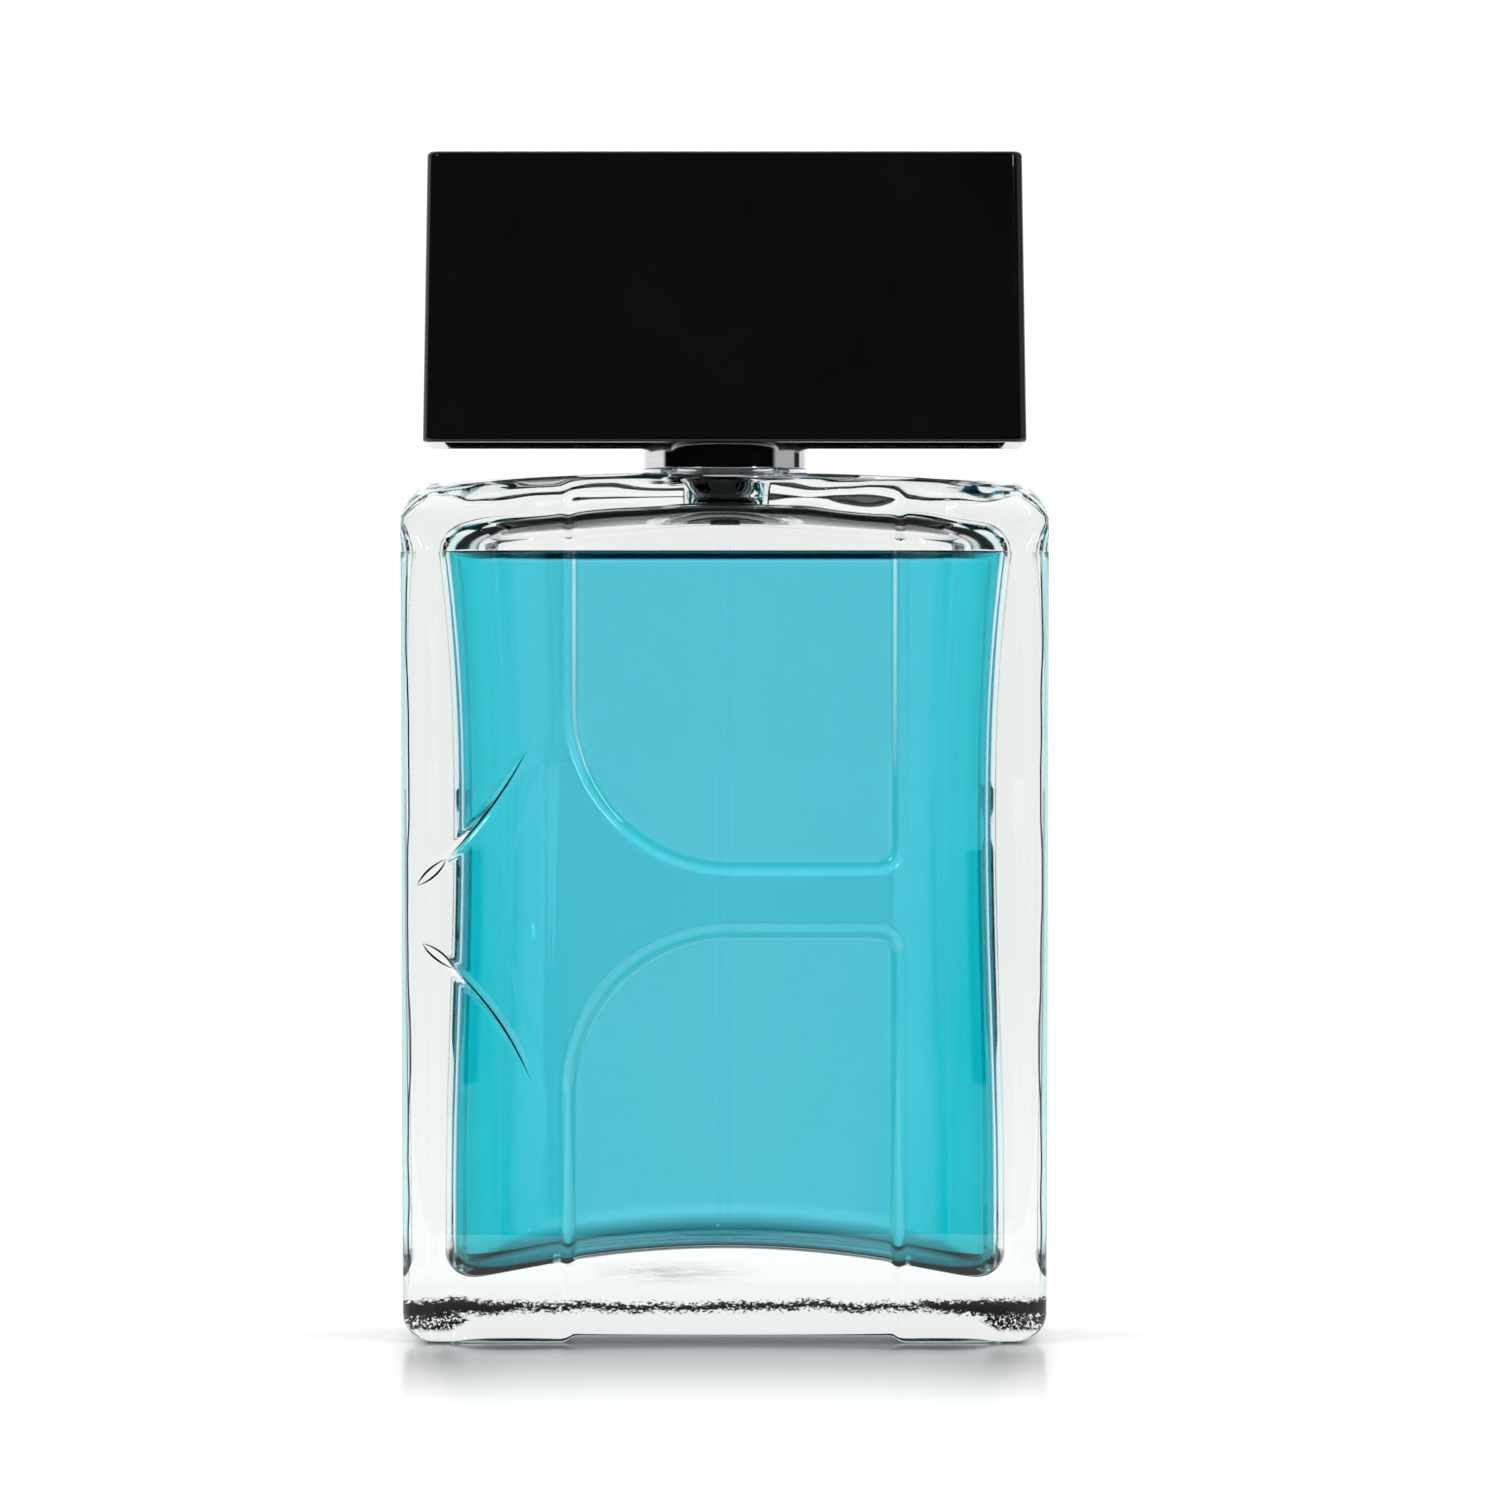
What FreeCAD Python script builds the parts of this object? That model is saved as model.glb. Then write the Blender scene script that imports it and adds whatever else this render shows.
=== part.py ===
import FreeCAD, Part
import math
import os

# Aftershave spray bottle: a thick rectangular glass bottle holding a clear blue-green liquid, a crimped
# fine-mist pump behind a bright collar, and a black block cap that pulls straight off.
# Millimetres. The origin is on the table under the centre of the base. +Z is up, +X runs along the wide
# side and the front face looks along -Y. Every piece is written at rest: cap on, pump up, valves shut.

# ---- glass bottle ----
GLASS_HALF_WIDTH_TOP = 35.6
GLASS_HALF_WIDTH_BASE = 35.3
GLASS_HALF_DEPTH = 16.0
SHOULDER_Z = 94.7
DOME_RISE = 1.2
SHOULDER_CORNER_R = 4.0
BASE_CORNER_R = 3.4
FACE_EDGE_R = 2.8

# ---- inside of the bottle: a pincushion from the front, round-ended from above ----
CAVITY_HALF_DEPTH = 11.6
CAVITY_LEVELS = ((3.0, 31.0), (30.0, 30.6), (58.0, 30.0), (75.0, 30.5), (95.0, 32.2))
CAVITY_FLOOR_SIDE_Z = 6.4
CAVITY_FLOOR_CENTRE_Z = 10.3
CAVITY_TOP_SIDE_Z = 89.7
CAVITY_TOP_CENTRE_Z = 92.3
CAVITY_EDGE_R = 2.8
FILL_Z = 85.6
LIQUID_GAP = 0.04

# ---- moulded relief on the front face ----
PANEL_DEPTH = 0.9
PANEL_WALL = 1.6
UPPER_PANEL = (-17.8, 19.96, 51.1)
LOWER_PANEL = (-18.0, 19.85, 45.96)
PANEL_ROUND_R = 18.6
PANEL_TIGHT_R = 3.1
BASE_CHANNEL_HEIGHT = 0.7
FLUTE_TOOL_R = 4.0
FLUTE_DEPTH = 0.35
RIB_X = -20.1
RIB_BOTTOM_Z = 26.0
RIB_TOP_Z = 68.5
FLUTES = (
    ((-21.3, 65.6), (-26.6, 57.4), (-33.6, 50.2)),
    ((-33.0, 43.8), (-26.4, 37.6), (-21.0, 28.3)),
)

# ---- neck finish for a 15 mm crimped pump ----
NECK_R = 6.5
BEAD_R = 7.5
BEAD_BOTTOM_Z = 99.6
NECK_TOP_Z = 103.5
NECK_BORE_R = 4.75

# ---- pump engine ----
STROKE = 3.0
GASKET_TOP_Z = 104.3
HOUSING_FLANGE_Z = 105.3
FLANGE_R = 7.4
HOUSING_R = 4.3
HOUSING_BORE_R = 3.4
HOUSING_BOTTOM_Z = 92.0
SPIGOT_BOTTOM_Z = 91.2
SPIGOT_R = 1.7
CHAMBER_FLOOR_Z = 94.0
TOWER_TOP_Z = 95.95
TOWER_R = 1.95
BALL_R = 1.0
BALL_SEAT_R = 0.7
BALL_CHAMBER_R = 1.25
BALL_STOP_R = 0.85
BALL_STOP_THICKNESS = 0.15
DIP_TUBE_R = 1.0
DIP_TUBE_BORE_R = 0.55
DIP_TUBE_TOP_Z = 93.4
DIP_TUBE_BOTTOM_Z = 11.6
STEM_R = 1.6
STEM_BORE_R = 0.6
STEM_TOP_Z = 112.3
SEAT_BOTTOM_Z = 99.3
SEAT_TOP_Z = 99.9
SEAT_R = 2.6
SEAT_PLUG_R = 0.95
SEAT_PLUG_TOP_Z = 100.5
ORIFICE_Z = 100.9
ORIFICE_R = 0.25
PISTON_TOP_Z = 101.5
PISTON_SLIP = 0.04
STEM_SHOULDER_Z = 102.6
STEM_SHOULDER_R = 2.9
SEAL_BOTTOM_Z = 103.1
SEAL_TOP_Z = 103.7
SEAL_R = 3.35
TURRET_FLANGE_Z = 106.1
TURRET_HUB_R = 2.9
RUNNING_GAP = 0.05
MAIN_SPRING = {"wire": 0.45, "radius": 2.75, "turns": 4.25}
VALVE_SPRING = {"wire": 0.28, "radius": 2.25, "turns": 2.25}

# ---- crimp ferrule, collar and liner ----
FERRULE_R = 7.95
FERRULE_WALL = 0.4
FERRULE_TOP_Z = 106.5
FERRULE_BOTTOM_Z = 98.9
FERRULE_MOUTH_R = 3.6
COLLAR_R = 9.25
COLLAR_WALL = 0.6
COLLAR_BOTTOM_Z = 96.0
COLLAR_TOP_Z = 110.0
COLLAR_MOUTH_R = 5.3
COLLAR_EDGE_R = 0.5
LINER_BOTTOM_Z = 97.4
LINER_TOP_Z = 109.4
LINER_LIP_R = 5.9

# ---- actuator ----
ACTUATOR_R = 4.9
ACTUATOR_WALL = 0.5
ACTUATOR_BOTTOM_Z = FERRULE_TOP_Z + STROKE + 0.2
ACTUATOR_CORE_INSET = 0.3
ACTUATOR_SKIRT_WALL = 0.7
TURRET_HUB_Z = ACTUATOR_BOTTOM_Z + ACTUATOR_CORE_INSET - STROKE - 0.1
ACTUATOR_TOP_Z = 120.4
ACTUATOR_DISH_R = 26.0
ACTUATOR_DISH_DEPTH = 0.45
ACTUATOR_EDGE_R = 0.6
NOZZLE_Z = 116.4
NOZZLE_R = 1.7
NOZZLE_WINDOW_R = 2.0
NOZZLE_DEPTH = 2.2
NOZZLE_HOLE_R = 0.2
SWIRL_CHAMBER_R = 0.7

# ---- block cap ----
CAP_BOTTOM_Z = 98.8
CAP_TOP_Z = 130.7
CAP_HALF_WIDTH_BOTTOM = 33.15
CAP_HALF_WIDTH_TOP = 32.65
CAP_HALF_DEPTH_BOTTOM = 13.75
CAP_HALF_DEPTH_TOP = 13.25
CAP_CORNER_R = 1.6
CAP_TOP_EDGE_R = 0.5
CAP_WALL = 2.2
CAP_ROOF = 2.4
INSERT_BOTTOM_Z = 99.8
INSERT_PLATE = 1.4
INSERT_TUBE_WALL = 1.5
INSERT_GRIP = 0.05
INSERT_TOP_Z = COLLAR_TOP_Z + 1.6
INSERT_SEAT_GAP = 0.02
INSERT_LIP_R = 7.6
INSERT_RIB_HALF = 0.6

UP = FreeCAD.Vector(0, 0, 1)
BACK = FreeCAD.Vector(0, 1, 0)
RIGHT = FreeCAD.Vector(1, 0, 0)
ORIGIN = FreeCAD.Vector(0, 0, 0)


def vec(x, y, z):
    return FreeCAD.Vector(x, y, z)


def rod(radius, bottom, top):
    return Part.makeCylinder(radius, top - bottom, vec(0, 0, bottom), UP)


def ring(bore, radius, bottom, top):
    return rod(radius, bottom, top).cut(rod(bore, bottom - 1, top + 1))


def turned(profile):
    """A solid of revolution about the pump axis from (radius, height) points."""
    points = [vec(radius, 0, height) for radius, height in profile]
    face = Part.Face(Part.makePolygon(points + points[:1]))
    return face.revolve(ORIGIN, UP, 360)


def line(start, end):
    return Part.LineSegment(start, end).toShape()


def arc(start, middle, end):
    return Part.Arc(start, middle, end).toShape()


def edges_on_plane(shape, axis, value):
    """The edges that lie in one plane square to X, Y or Z."""
    found = []
    for edge in shape.Edges:
        box = edge.BoundBox
        low = getattr(box, axis + "Min")
        high = getattr(box, axis + "Max")
        if abs(low - value) < 1e-4 and abs(high - value) < 1e-4:
            found.append(edge)
    return found


def rounded_rectangle(half_x, half_y, radius, z):
    """A level rounded rectangle centred on the pump axis, as one wire."""
    x = half_x - radius
    y = half_y - radius
    k = radius * math.sqrt(0.5)
    corners = ((x, y, 1, 1), (-x, y, -1, 1), (-x, -y, -1, -1), (x, -y, 1, -1))
    edges = []
    last = None
    for cx, cy, sx, sy in corners:
        along_x = vec(cx + sx * radius, cy, z)
        along_y = vec(cx, cy + sy * radius, z)
        start, end = (along_x, along_y) if sx == sy else (along_y, along_x)
        if last is not None and last.distanceToPoint(start) > 1e-6:
            edges.append(line(last, start))
        edges.append(arc(start, vec(cx + sx * k, cy + sy * k, z), end))
        last = end
        first = edges[0].Vertexes[0].Point
    edges.append(line(last, first))
    return Part.Wire(edges)


def coil_spring(wire, radius, turns, bottom, top):
    """A helical spring whose wire just fits between two seats."""
    height = top - bottom - wire
    helix = Part.makeHelix(height / turns, height, radius)
    section = Part.Wire(Part.makeCircle(wire / 2, vec(radius, 0, 0), BACK))
    coil = Part.Wire(helix.Edges).makePipeShell([section], True, True)
    coil.translate(vec(0, 0, bottom + wire / 2))
    return coil


# ---------------------------------------------------------------- glass


def glass_block():
    """The outer block: slightly tapered sides, a shallow domed shoulder and rounded edges."""
    low, high = -GLASS_HALF_DEPTH, GLASS_HALF_DEPTH
    base_left = vec(-GLASS_HALF_WIDTH_BASE, low, 0)
    base_right = vec(GLASS_HALF_WIDTH_BASE, low, 0)
    top_left = vec(-GLASS_HALF_WIDTH_TOP, low, SHOULDER_Z)
    top_right = vec(GLASS_HALF_WIDTH_TOP, low, SHOULDER_Z)
    crown = vec(0, low, SHOULDER_Z + DOME_RISE)
    outline = Part.Wire([
        line(base_left, base_right),
        line(base_right, top_right),
        arc(top_right, crown, top_left),
        line(top_left, base_left),
    ])
    block = Part.Face(outline).extrude(vec(0, high - low, 0))
    uprights = [e for e in block.Edges if e.BoundBox.YLength > high]
    shoulder = [e for e in uprights if e.BoundBox.ZMin > SHOULDER_Z / 2]
    block = block.makeFillet(SHOULDER_CORNER_R, shoulder)
    base = [e for e in block.Edges if e.BoundBox.YLength > high and e.BoundBox.ZMax < 1e-4]
    block = block.makeFillet(BASE_CORNER_R, base)
    rims = edges_on_plane(block, "Y", low) + edges_on_plane(block, "Y", high)
    return block.makeFillet(FACE_EDGE_R, rims)


def panel_wire(panel, grow, y, upright):
    """One outline of a recessed panel. The panel runs off the face above (upright 1) or below (-1)."""
    left, right, shut = panel
    left -= grow
    right += grow
    shut -= grow * upright
    away = SHOULDER_Z + 5 if upright > 0 else -5
    wide = PANEL_ROUND_R + grow
    tight = PANEL_TIGHT_R + grow
    k = 1 - math.sqrt(0.5)
    points = [
        vec(left, y, away),
        vec(left, y, shut + wide * upright),
        vec(left + wide * k, y, shut + wide * k * upright),
        vec(left + wide, y, shut),
        vec(right - tight, y, shut),
        vec(right - tight * k, y, shut + tight * k * upright),
        vec(right, y, shut + tight * upright),
        vec(right, y, away),
    ]
    return Part.Wire([
        line(points[0], points[1]),
        arc(points[1], points[2], points[3]),
        line(points[3], points[4]),
        arc(points[4], points[5], points[6]),
        line(points[6], points[7]),
        line(points[7], points[0]),
    ])


def panel_tool(panel, upright):
    """A recess with sloping walls, deeper than the face by a margin so that the cut is clean."""
    slope = PANEL_WALL / PANEL_DEPTH
    margin = 0.5
    outside = panel_wire(panel, slope * margin, -GLASS_HALF_DEPTH - margin, upright)
    inside = panel_wire(panel, -PANEL_WALL, -GLASS_HALF_DEPTH + PANEL_DEPTH, upright)
    return Part.makeLoft([outside, inside], True, True)


def base_channel():
    """The shallow channel between the two feet, in line with the lower panel."""
    left, right, _ = LOWER_PANEL
    slope = PANEL_WALL / BASE_CHANNEL_HEIGHT
    margin = 0.5
    y = -GLASS_HALF_DEPTH - 1
    corners = [
        vec(left - slope * margin, y, -margin),
        vec(right + slope * margin, y, -margin),
        vec(right - PANEL_WALL, y, BASE_CHANNEL_HEIGHT),
        vec(left + PANEL_WALL, y, BASE_CHANNEL_HEIGHT),
    ]
    face = Part.Face(Part.makePolygon(corners + corners[:1]))
    return face.extrude(vec(0, 2 * GLASS_HALF_DEPTH + 2, 0))


def flute_tool(start, middle, end):
    """A round-bottomed flute along an arc in the front face."""
    y = -GLASS_HALF_DEPTH - FLUTE_TOOL_R + FLUTE_DEPTH
    path = Part.Wire([arc(*(vec(x, y, z) for x, z in (start, middle, end)))])
    edge = path.Edges[0]
    section = Part.Wire(Part.makeCircle(FLUTE_TOOL_R, edge.valueAt(edge.FirstParameter),
                                        edge.tangentAt(edge.FirstParameter)))
    tool = path.makePipeShell([section], True, True)
    for x, z in (start, end):
        tool = tool.fuse(Part.makeSphere(FLUTE_TOOL_R, vec(x, y, z)))
    return tool


def rib_groove():
    """The straight upright flute beside the panels, with spoon ends."""
    y = -GLASS_HALF_DEPTH - FLUTE_TOOL_R + FLUTE_DEPTH
    height = RIB_TOP_Z - RIB_BOTTOM_Z
    groove = Part.makeCylinder(FLUTE_TOOL_R, height, vec(RIB_X, y, RIB_BOTTOM_Z), UP)
    for z in (RIB_BOTTOM_Z, RIB_TOP_Z):
        groove = groove.fuse(Part.makeSphere(FLUTE_TOOL_R, vec(RIB_X, y, z)))
    return groove


def cavity(gap):
    """The inside of the bottle, drawn in by a gap all round."""
    depth = CAVITY_HALF_DEPTH - gap
    sections = []
    for z, half_width in CAVITY_LEVELS:
        straight = half_width - CAVITY_HALF_DEPTH
        sections.append(Part.Wire([
            line(vec(-straight, -depth, z), vec(straight, -depth, z)),
            arc(vec(straight, -depth, z), vec(straight + depth, 0, z), vec(straight, depth, z)),
            line(vec(straight, depth, z), vec(-straight, depth, z)),
            arc(vec(-straight, depth, z), vec(-straight - depth, 0, z), vec(-straight, -depth, z)),
        ]))
    flask = Part.makeLoft(sections, True, False)
    reach = GLASS_HALF_WIDTH_BASE
    y = -GLASS_HALF_DEPTH
    floor_side = CAVITY_FLOOR_SIDE_Z + gap
    top_side = CAVITY_TOP_SIDE_Z - gap
    band = Part.Face(Part.Wire([
        arc(vec(-reach, y, floor_side), vec(0, y, CAVITY_FLOOR_CENTRE_Z + gap), vec(reach, y, floor_side)),
        line(vec(reach, y, floor_side), vec(reach, y, top_side)),
        arc(vec(reach, y, top_side), vec(0, y, CAVITY_TOP_CENTRE_Z - gap), vec(-reach, y, top_side)),
        line(vec(-reach, y, top_side), vec(-reach, y, floor_side)),
    ])).extrude(vec(0, 2 * GLASS_HALF_DEPTH, 0))
    hollow = flask.common(band)
    rims = []
    for edge in hollow.Edges:
        box = edge.BoundBox
        if box.ZMax < CAVITY_FLOOR_CENTRE_Z + 1 or box.ZMin > CAVITY_TOP_SIDE_Z - 1:
            rims.append(edge)
    return hollow.makeFillet(CAVITY_EDGE_R - gap, rims)


def glass_bottle():
    bead_chamfer = 0.3
    neck = turned([
        (0, SHOULDER_Z), (NECK_R, SHOULDER_Z), (NECK_R, BEAD_BOTTOM_Z - bead_chamfer),
        (BEAD_R, BEAD_BOTTOM_Z + bead_chamfer), (BEAD_R, NECK_TOP_Z - bead_chamfer),
        (BEAD_R - bead_chamfer, NECK_TOP_Z), (0, NECK_TOP_Z),
    ])
    glass = glass_block().fuse(neck)
    tools = [panel_tool(UPPER_PANEL, 1), panel_tool(LOWER_PANEL, -1), base_channel(), rib_groove()]
    tools += [flute_tool(*points) for points in FLUTES]
    for tool in tools:
        glass = glass.cut(tool)
    glass = glass.cut(rod(NECK_BORE_R, SHOULDER_Z - 5, NECK_TOP_Z + 1))
    return glass.cut(cavity(0))


def liquid():
    pool = cavity(LIQUID_GAP)
    above = Part.makeBox(200, 200, 200, vec(-100, -100, FILL_Z))
    tube_way = rod(DIP_TUBE_R + LIQUID_GAP, DIP_TUBE_BOTTOM_Z - LIQUID_GAP, FILL_Z + 1)
    return pool.cut(above).cut(tube_way)


# ---------------------------------------------------------------- pump


def neck_gasket():
    return ring(NECK_BORE_R + 0.2, FLANGE_R, NECK_TOP_Z, GASKET_TOP_Z)


def pump_housing():
    """Flanged chamber in the neck bore, with the ball's cage on its floor and a spigot for the dip tube."""
    body = rod(HOUSING_R, HOUSING_BOTTOM_Z, HOUSING_FLANGE_Z)
    body = body.fuse(rod(FLANGE_R, GASKET_TOP_Z, HOUSING_FLANGE_Z))
    body = body.fuse(rod(SPIGOT_R, SPIGOT_BOTTOM_Z, HOUSING_BOTTOM_Z))
    body = body.cut(ring(TOWER_R, HOUSING_BORE_R, CHAMBER_FLOOR_Z, TOWER_TOP_Z))
    body = body.cut(rod(HOUSING_BORE_R, TOWER_TOP_Z, HOUSING_FLANGE_Z + 1))
    body = body.cut(rod(DIP_TUBE_R, SPIGOT_BOTTOM_Z - 1, DIP_TUBE_TOP_Z))
    body = body.cut(rod(BALL_SEAT_R, DIP_TUBE_TOP_Z - 1, CHAMBER_FLOOR_Z + 1))
    body = body.cut(rod(BALL_CHAMBER_R, CHAMBER_FLOOR_Z, TOWER_TOP_Z - BALL_STOP_THICKNESS))
    body = body.cut(rod(BALL_STOP_R, TOWER_TOP_Z - 1, TOWER_TOP_Z + 1))
    slot_half = 0.25
    slot_height = 1.0
    for turn in (0, 90):
        slot = Part.makeBox(2 * TOWER_R + 0.6, 2 * slot_half, slot_height + 1,
                            vec(-TOWER_R - 0.3, -slot_half, TOWER_TOP_Z - slot_height))
        slot.rotate(ORIGIN, UP, turn)
        body = body.cut(slot)
    return body


def ball_rest_z():
    """Height of the ball's centre when it sits on the rim of its seat."""
    return CHAMBER_FLOOR_Z + math.sqrt(BALL_R ** 2 - BALL_SEAT_R ** 2)


def inlet_ball():
    seat_gap = 0.005
    return Part.makeSphere(BALL_R, vec(0, 0, ball_rest_z() + seat_gap))


def dip_tube():
    """Straight clear tube with a mitred foot, pressed up into the housing's spigot."""
    tube = ring(DIP_TUBE_BORE_R, DIP_TUBE_R, DIP_TUBE_BOTTOM_Z, DIP_TUBE_TOP_Z)
    mitre = Part.makeBox(6, 6, 6, vec(0, -3, -6))
    mitre.rotate(ORIGIN, BACK, -45)
    mitre.translate(vec(-DIP_TUBE_R, 0, DIP_TUBE_BOTTOM_Z))
    return tube.cut(mitre)


def turret():
    """Plug that closes the housing and guides the stem."""
    bore = STEM_R + RUNNING_GAP
    return turned([
        (bore, SEAL_TOP_Z), (HOUSING_BORE_R, SEAL_TOP_Z), (HOUSING_BORE_R, HOUSING_FLANGE_Z),
        (FLANGE_R, HOUSING_FLANGE_Z), (FLANGE_R, TURRET_FLANGE_Z), (TURRET_HUB_R, TURRET_FLANGE_Z),
        (TURRET_HUB_R, TURRET_HUB_Z), (bore, TURRET_HUB_Z),
    ])


def stem_seal():
    return ring(STEM_R + RUNNING_GAP / 2, SEAL_R, SEAL_BOTTOM_Z, SEAL_TOP_Z)


def pump_stem():
    """Hollow stem with a shoulder under the seal and a cross hole that the piston covers."""
    stem = rod(STEM_R, SEAT_TOP_Z, STEM_TOP_Z).fuse(rod(STEM_SHOULDER_R, STEM_SHOULDER_Z, SEAL_BOTTOM_Z))
    stem = stem.cut(rod(STEM_BORE_R, SEAT_TOP_Z - 1, STEM_TOP_Z + 1))
    stem = stem.cut(rod(SEAT_PLUG_R, SEAT_TOP_Z - 1, SEAT_PLUG_TOP_Z))
    cross = Part.makeCylinder(ORIFICE_R, 2 * STEM_R + 2, vec(-STEM_R - 1, 0, ORIFICE_Z), RIGHT)
    return stem.cut(cross)


def piston_seat():
    """Foot of the stem: a disc that the piston rests on, plugged into the stem's bore."""
    disc = rod(SEAT_R, SEAT_BOTTOM_Z, SEAT_TOP_Z)
    return disc.fuse(rod(SEAT_PLUG_R, SEAT_TOP_Z, SEAT_PLUG_TOP_Z))


def piston():
    """Ring piston with a lip at each end that wipes the chamber."""
    lip = HOUSING_BORE_R - PISTON_SLIP
    waist = HOUSING_BORE_R - 0.5
    bore = STEM_R + RUNNING_GAP
    lip_height = 0.4
    return turned([
        (bore, SEAT_TOP_Z), (lip, SEAT_TOP_Z), (lip, SEAT_TOP_Z + lip_height),
        (waist, SEAT_TOP_Z + lip_height + 0.15), (waist, PISTON_TOP_Z - lip_height - 0.15),
        (lip, PISTON_TOP_Z - lip_height), (lip, PISTON_TOP_Z), (bore, PISTON_TOP_Z),
    ])


def pump_ferrule():
    """Thin aluminium cup crimped under the neck's bead, holding gasket, housing and turret down."""
    inner = FERRULE_R - FERRULE_WALL
    crimp_r = NECK_R + 0.1
    crimp_z = BEAD_BOTTOM_Z - 0.35
    return turned([
        (FERRULE_MOUTH_R, TURRET_FLANGE_Z), (inner, TURRET_FLANGE_Z), (inner, BEAD_BOTTOM_Z),
        (crimp_r, crimp_z), (crimp_r, FERRULE_BOTTOM_Z), (FERRULE_R, FERRULE_BOTTOM_Z + 0.3),
        (FERRULE_R, FERRULE_TOP_Z - 0.3), (FERRULE_R - 0.3, FERRULE_TOP_Z), (FERRULE_MOUTH_R, FERRULE_TOP_Z),
    ])


def collar_shell():
    """Bright one-piece collar with a rounded shoulder and a mouth that the actuator dips into."""
    outside = rod(COLLAR_R, COLLAR_BOTTOM_Z, COLLAR_TOP_Z)
    outside = outside.makeFillet(COLLAR_EDGE_R, edges_on_plane(outside, "Z", COLLAR_TOP_Z))
    hollow = rod(COLLAR_R - COLLAR_WALL, COLLAR_BOTTOM_Z - 1, COLLAR_TOP_Z - COLLAR_WALL)
    mouth = rod(COLLAR_MOUTH_R, COLLAR_BOTTOM_Z - 1, COLLAR_TOP_Z + 1)
    return outside.cut(hollow).cut(mouth)


def collar_liner():
    """Plastic sleeve that wedges the collar onto the ferrule, with a lip under the collar's roof."""
    outer = COLLAR_R - COLLAR_WALL
    lip = 0.6
    return turned([
        (FERRULE_R, LINER_BOTTOM_Z), (outer, LINER_BOTTOM_Z), (outer, LINER_TOP_Z),
        (LINER_LIP_R, LINER_TOP_Z), (LINER_LIP_R, LINER_TOP_Z - lip), (FERRULE_R, LINER_TOP_Z - lip),
    ])


# ---------------------------------------------------------------- actuator


def actuator_shell():
    """Thin bright cup over the actuator, with a dished finger rest and a round window for the nozzle."""
    outside = rod(ACTUATOR_R, ACTUATOR_BOTTOM_Z, ACTUATOR_TOP_Z)
    outside = outside.makeFillet(ACTUATOR_EDGE_R, edges_on_plane(outside, "Z", ACTUATOR_TOP_Z))
    dish_z = ACTUATOR_TOP_Z - ACTUATOR_DISH_DEPTH + ACTUATOR_DISH_R
    outside = outside.cut(Part.makeSphere(ACTUATOR_DISH_R, vec(0, 0, dish_z)))
    hollow = rod(ACTUATOR_R - ACTUATOR_WALL, ACTUATOR_BOTTOM_Z - 1, core_top_z())
    window = Part.makeCylinder(NOZZLE_WINDOW_R, ACTUATOR_R, vec(0, -ACTUATOR_R - 1, NOZZLE_Z), BACK)
    return outside.cut(hollow).cut(window)


def core_top_z():
    return ACTUATOR_TOP_Z - ACTUATOR_DISH_DEPTH - ACTUATOR_WALL


def actuator_body():
    """Moulded core: a socket on the stem, a riser and a forward duct to the nozzle's post."""
    core_r = ACTUATOR_R - ACTUATOR_WALL
    core = rod(core_r, ACTUATOR_BOTTOM_Z + ACTUATOR_CORE_INSET, core_top_z())
    skirt_r = core_r - ACTUATOR_SKIRT_WALL
    core = core.cut(ring(TURRET_HUB_R, skirt_r, ACTUATOR_BOTTOM_Z, NOZZLE_Z - NOZZLE_DEPTH))
    core = core.cut(rod(STEM_R + RUNNING_GAP, ACTUATOR_BOTTOM_Z, STEM_TOP_Z))
    core = core.cut(rod(STEM_BORE_R, STEM_TOP_Z - 1, NOZZLE_Z))
    front = -ACTUATOR_R + ACTUATOR_WALL
    duct = Part.makeCylinder(STEM_BORE_R, ACTUATOR_R, vec(0, front - 1, NOZZLE_Z), BACK)
    pocket = Part.makeCylinder(NOZZLE_R, NOZZLE_DEPTH + 1, vec(0, front - 1, NOZZLE_Z), BACK)
    return core.cut(duct).cut(pocket)


def nozzle_insert():
    """Small cup pressed into the front of the actuator: swirl chamber behind, spray hole in front."""
    front = -ACTUATOR_R + 0.15
    back = -ACTUATOR_R + ACTUATOR_WALL + NOZZLE_DEPTH
    cup = Part.makeCylinder(NOZZLE_R, back - front, vec(0, front, NOZZLE_Z), BACK)
    swirl = Part.makeCylinder(SWIRL_CHAMBER_R, back - front, vec(0, front + 0.5, NOZZLE_Z), BACK)
    hole = Part.makeCylinder(NOZZLE_HOLE_R, 2, vec(0, front - 1, NOZZLE_Z), BACK)
    flare = Part.makeCone(0.7, NOZZLE_HOLE_R, 0.35, vec(0, front, NOZZLE_Z), BACK)
    return cup.cut(swirl).cut(hole).cut(flare)


# ---------------------------------------------------------------- cap


def cap_half_size(z):
    """Outer half width and half depth of the cap at a height: its sides have a moulding draft."""
    share = (z - CAP_BOTTOM_Z) / (CAP_TOP_Z - CAP_BOTTOM_Z)
    half_width = CAP_HALF_WIDTH_BOTTOM + share * (CAP_HALF_WIDTH_TOP - CAP_HALF_WIDTH_BOTTOM)
    half_depth = CAP_HALF_DEPTH_BOTTOM + share * (CAP_HALF_DEPTH_TOP - CAP_HALF_DEPTH_BOTTOM)
    return half_width, half_depth


def drafted_block(bottom, top, inset, corner):
    wires = []
    for z in (bottom, top):
        half_width, half_depth = cap_half_size(z)
        wires.append(rounded_rectangle(half_width - inset, half_depth - inset, corner, z))
    return Part.makeLoft(wires, True, True)


def cap_shell():
    outside = drafted_block(CAP_BOTTOM_Z, CAP_TOP_Z, 0, CAP_CORNER_R)
    outside = outside.makeFillet(CAP_TOP_EDGE_R, edges_on_plane(outside, "Z", CAP_TOP_Z))
    inner_corner = 0.8
    hollow = drafted_block(CAP_BOTTOM_Z - 1, CAP_TOP_Z - CAP_ROOF, CAP_WALL, inner_corner)
    return outside.cut(hollow)


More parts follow.
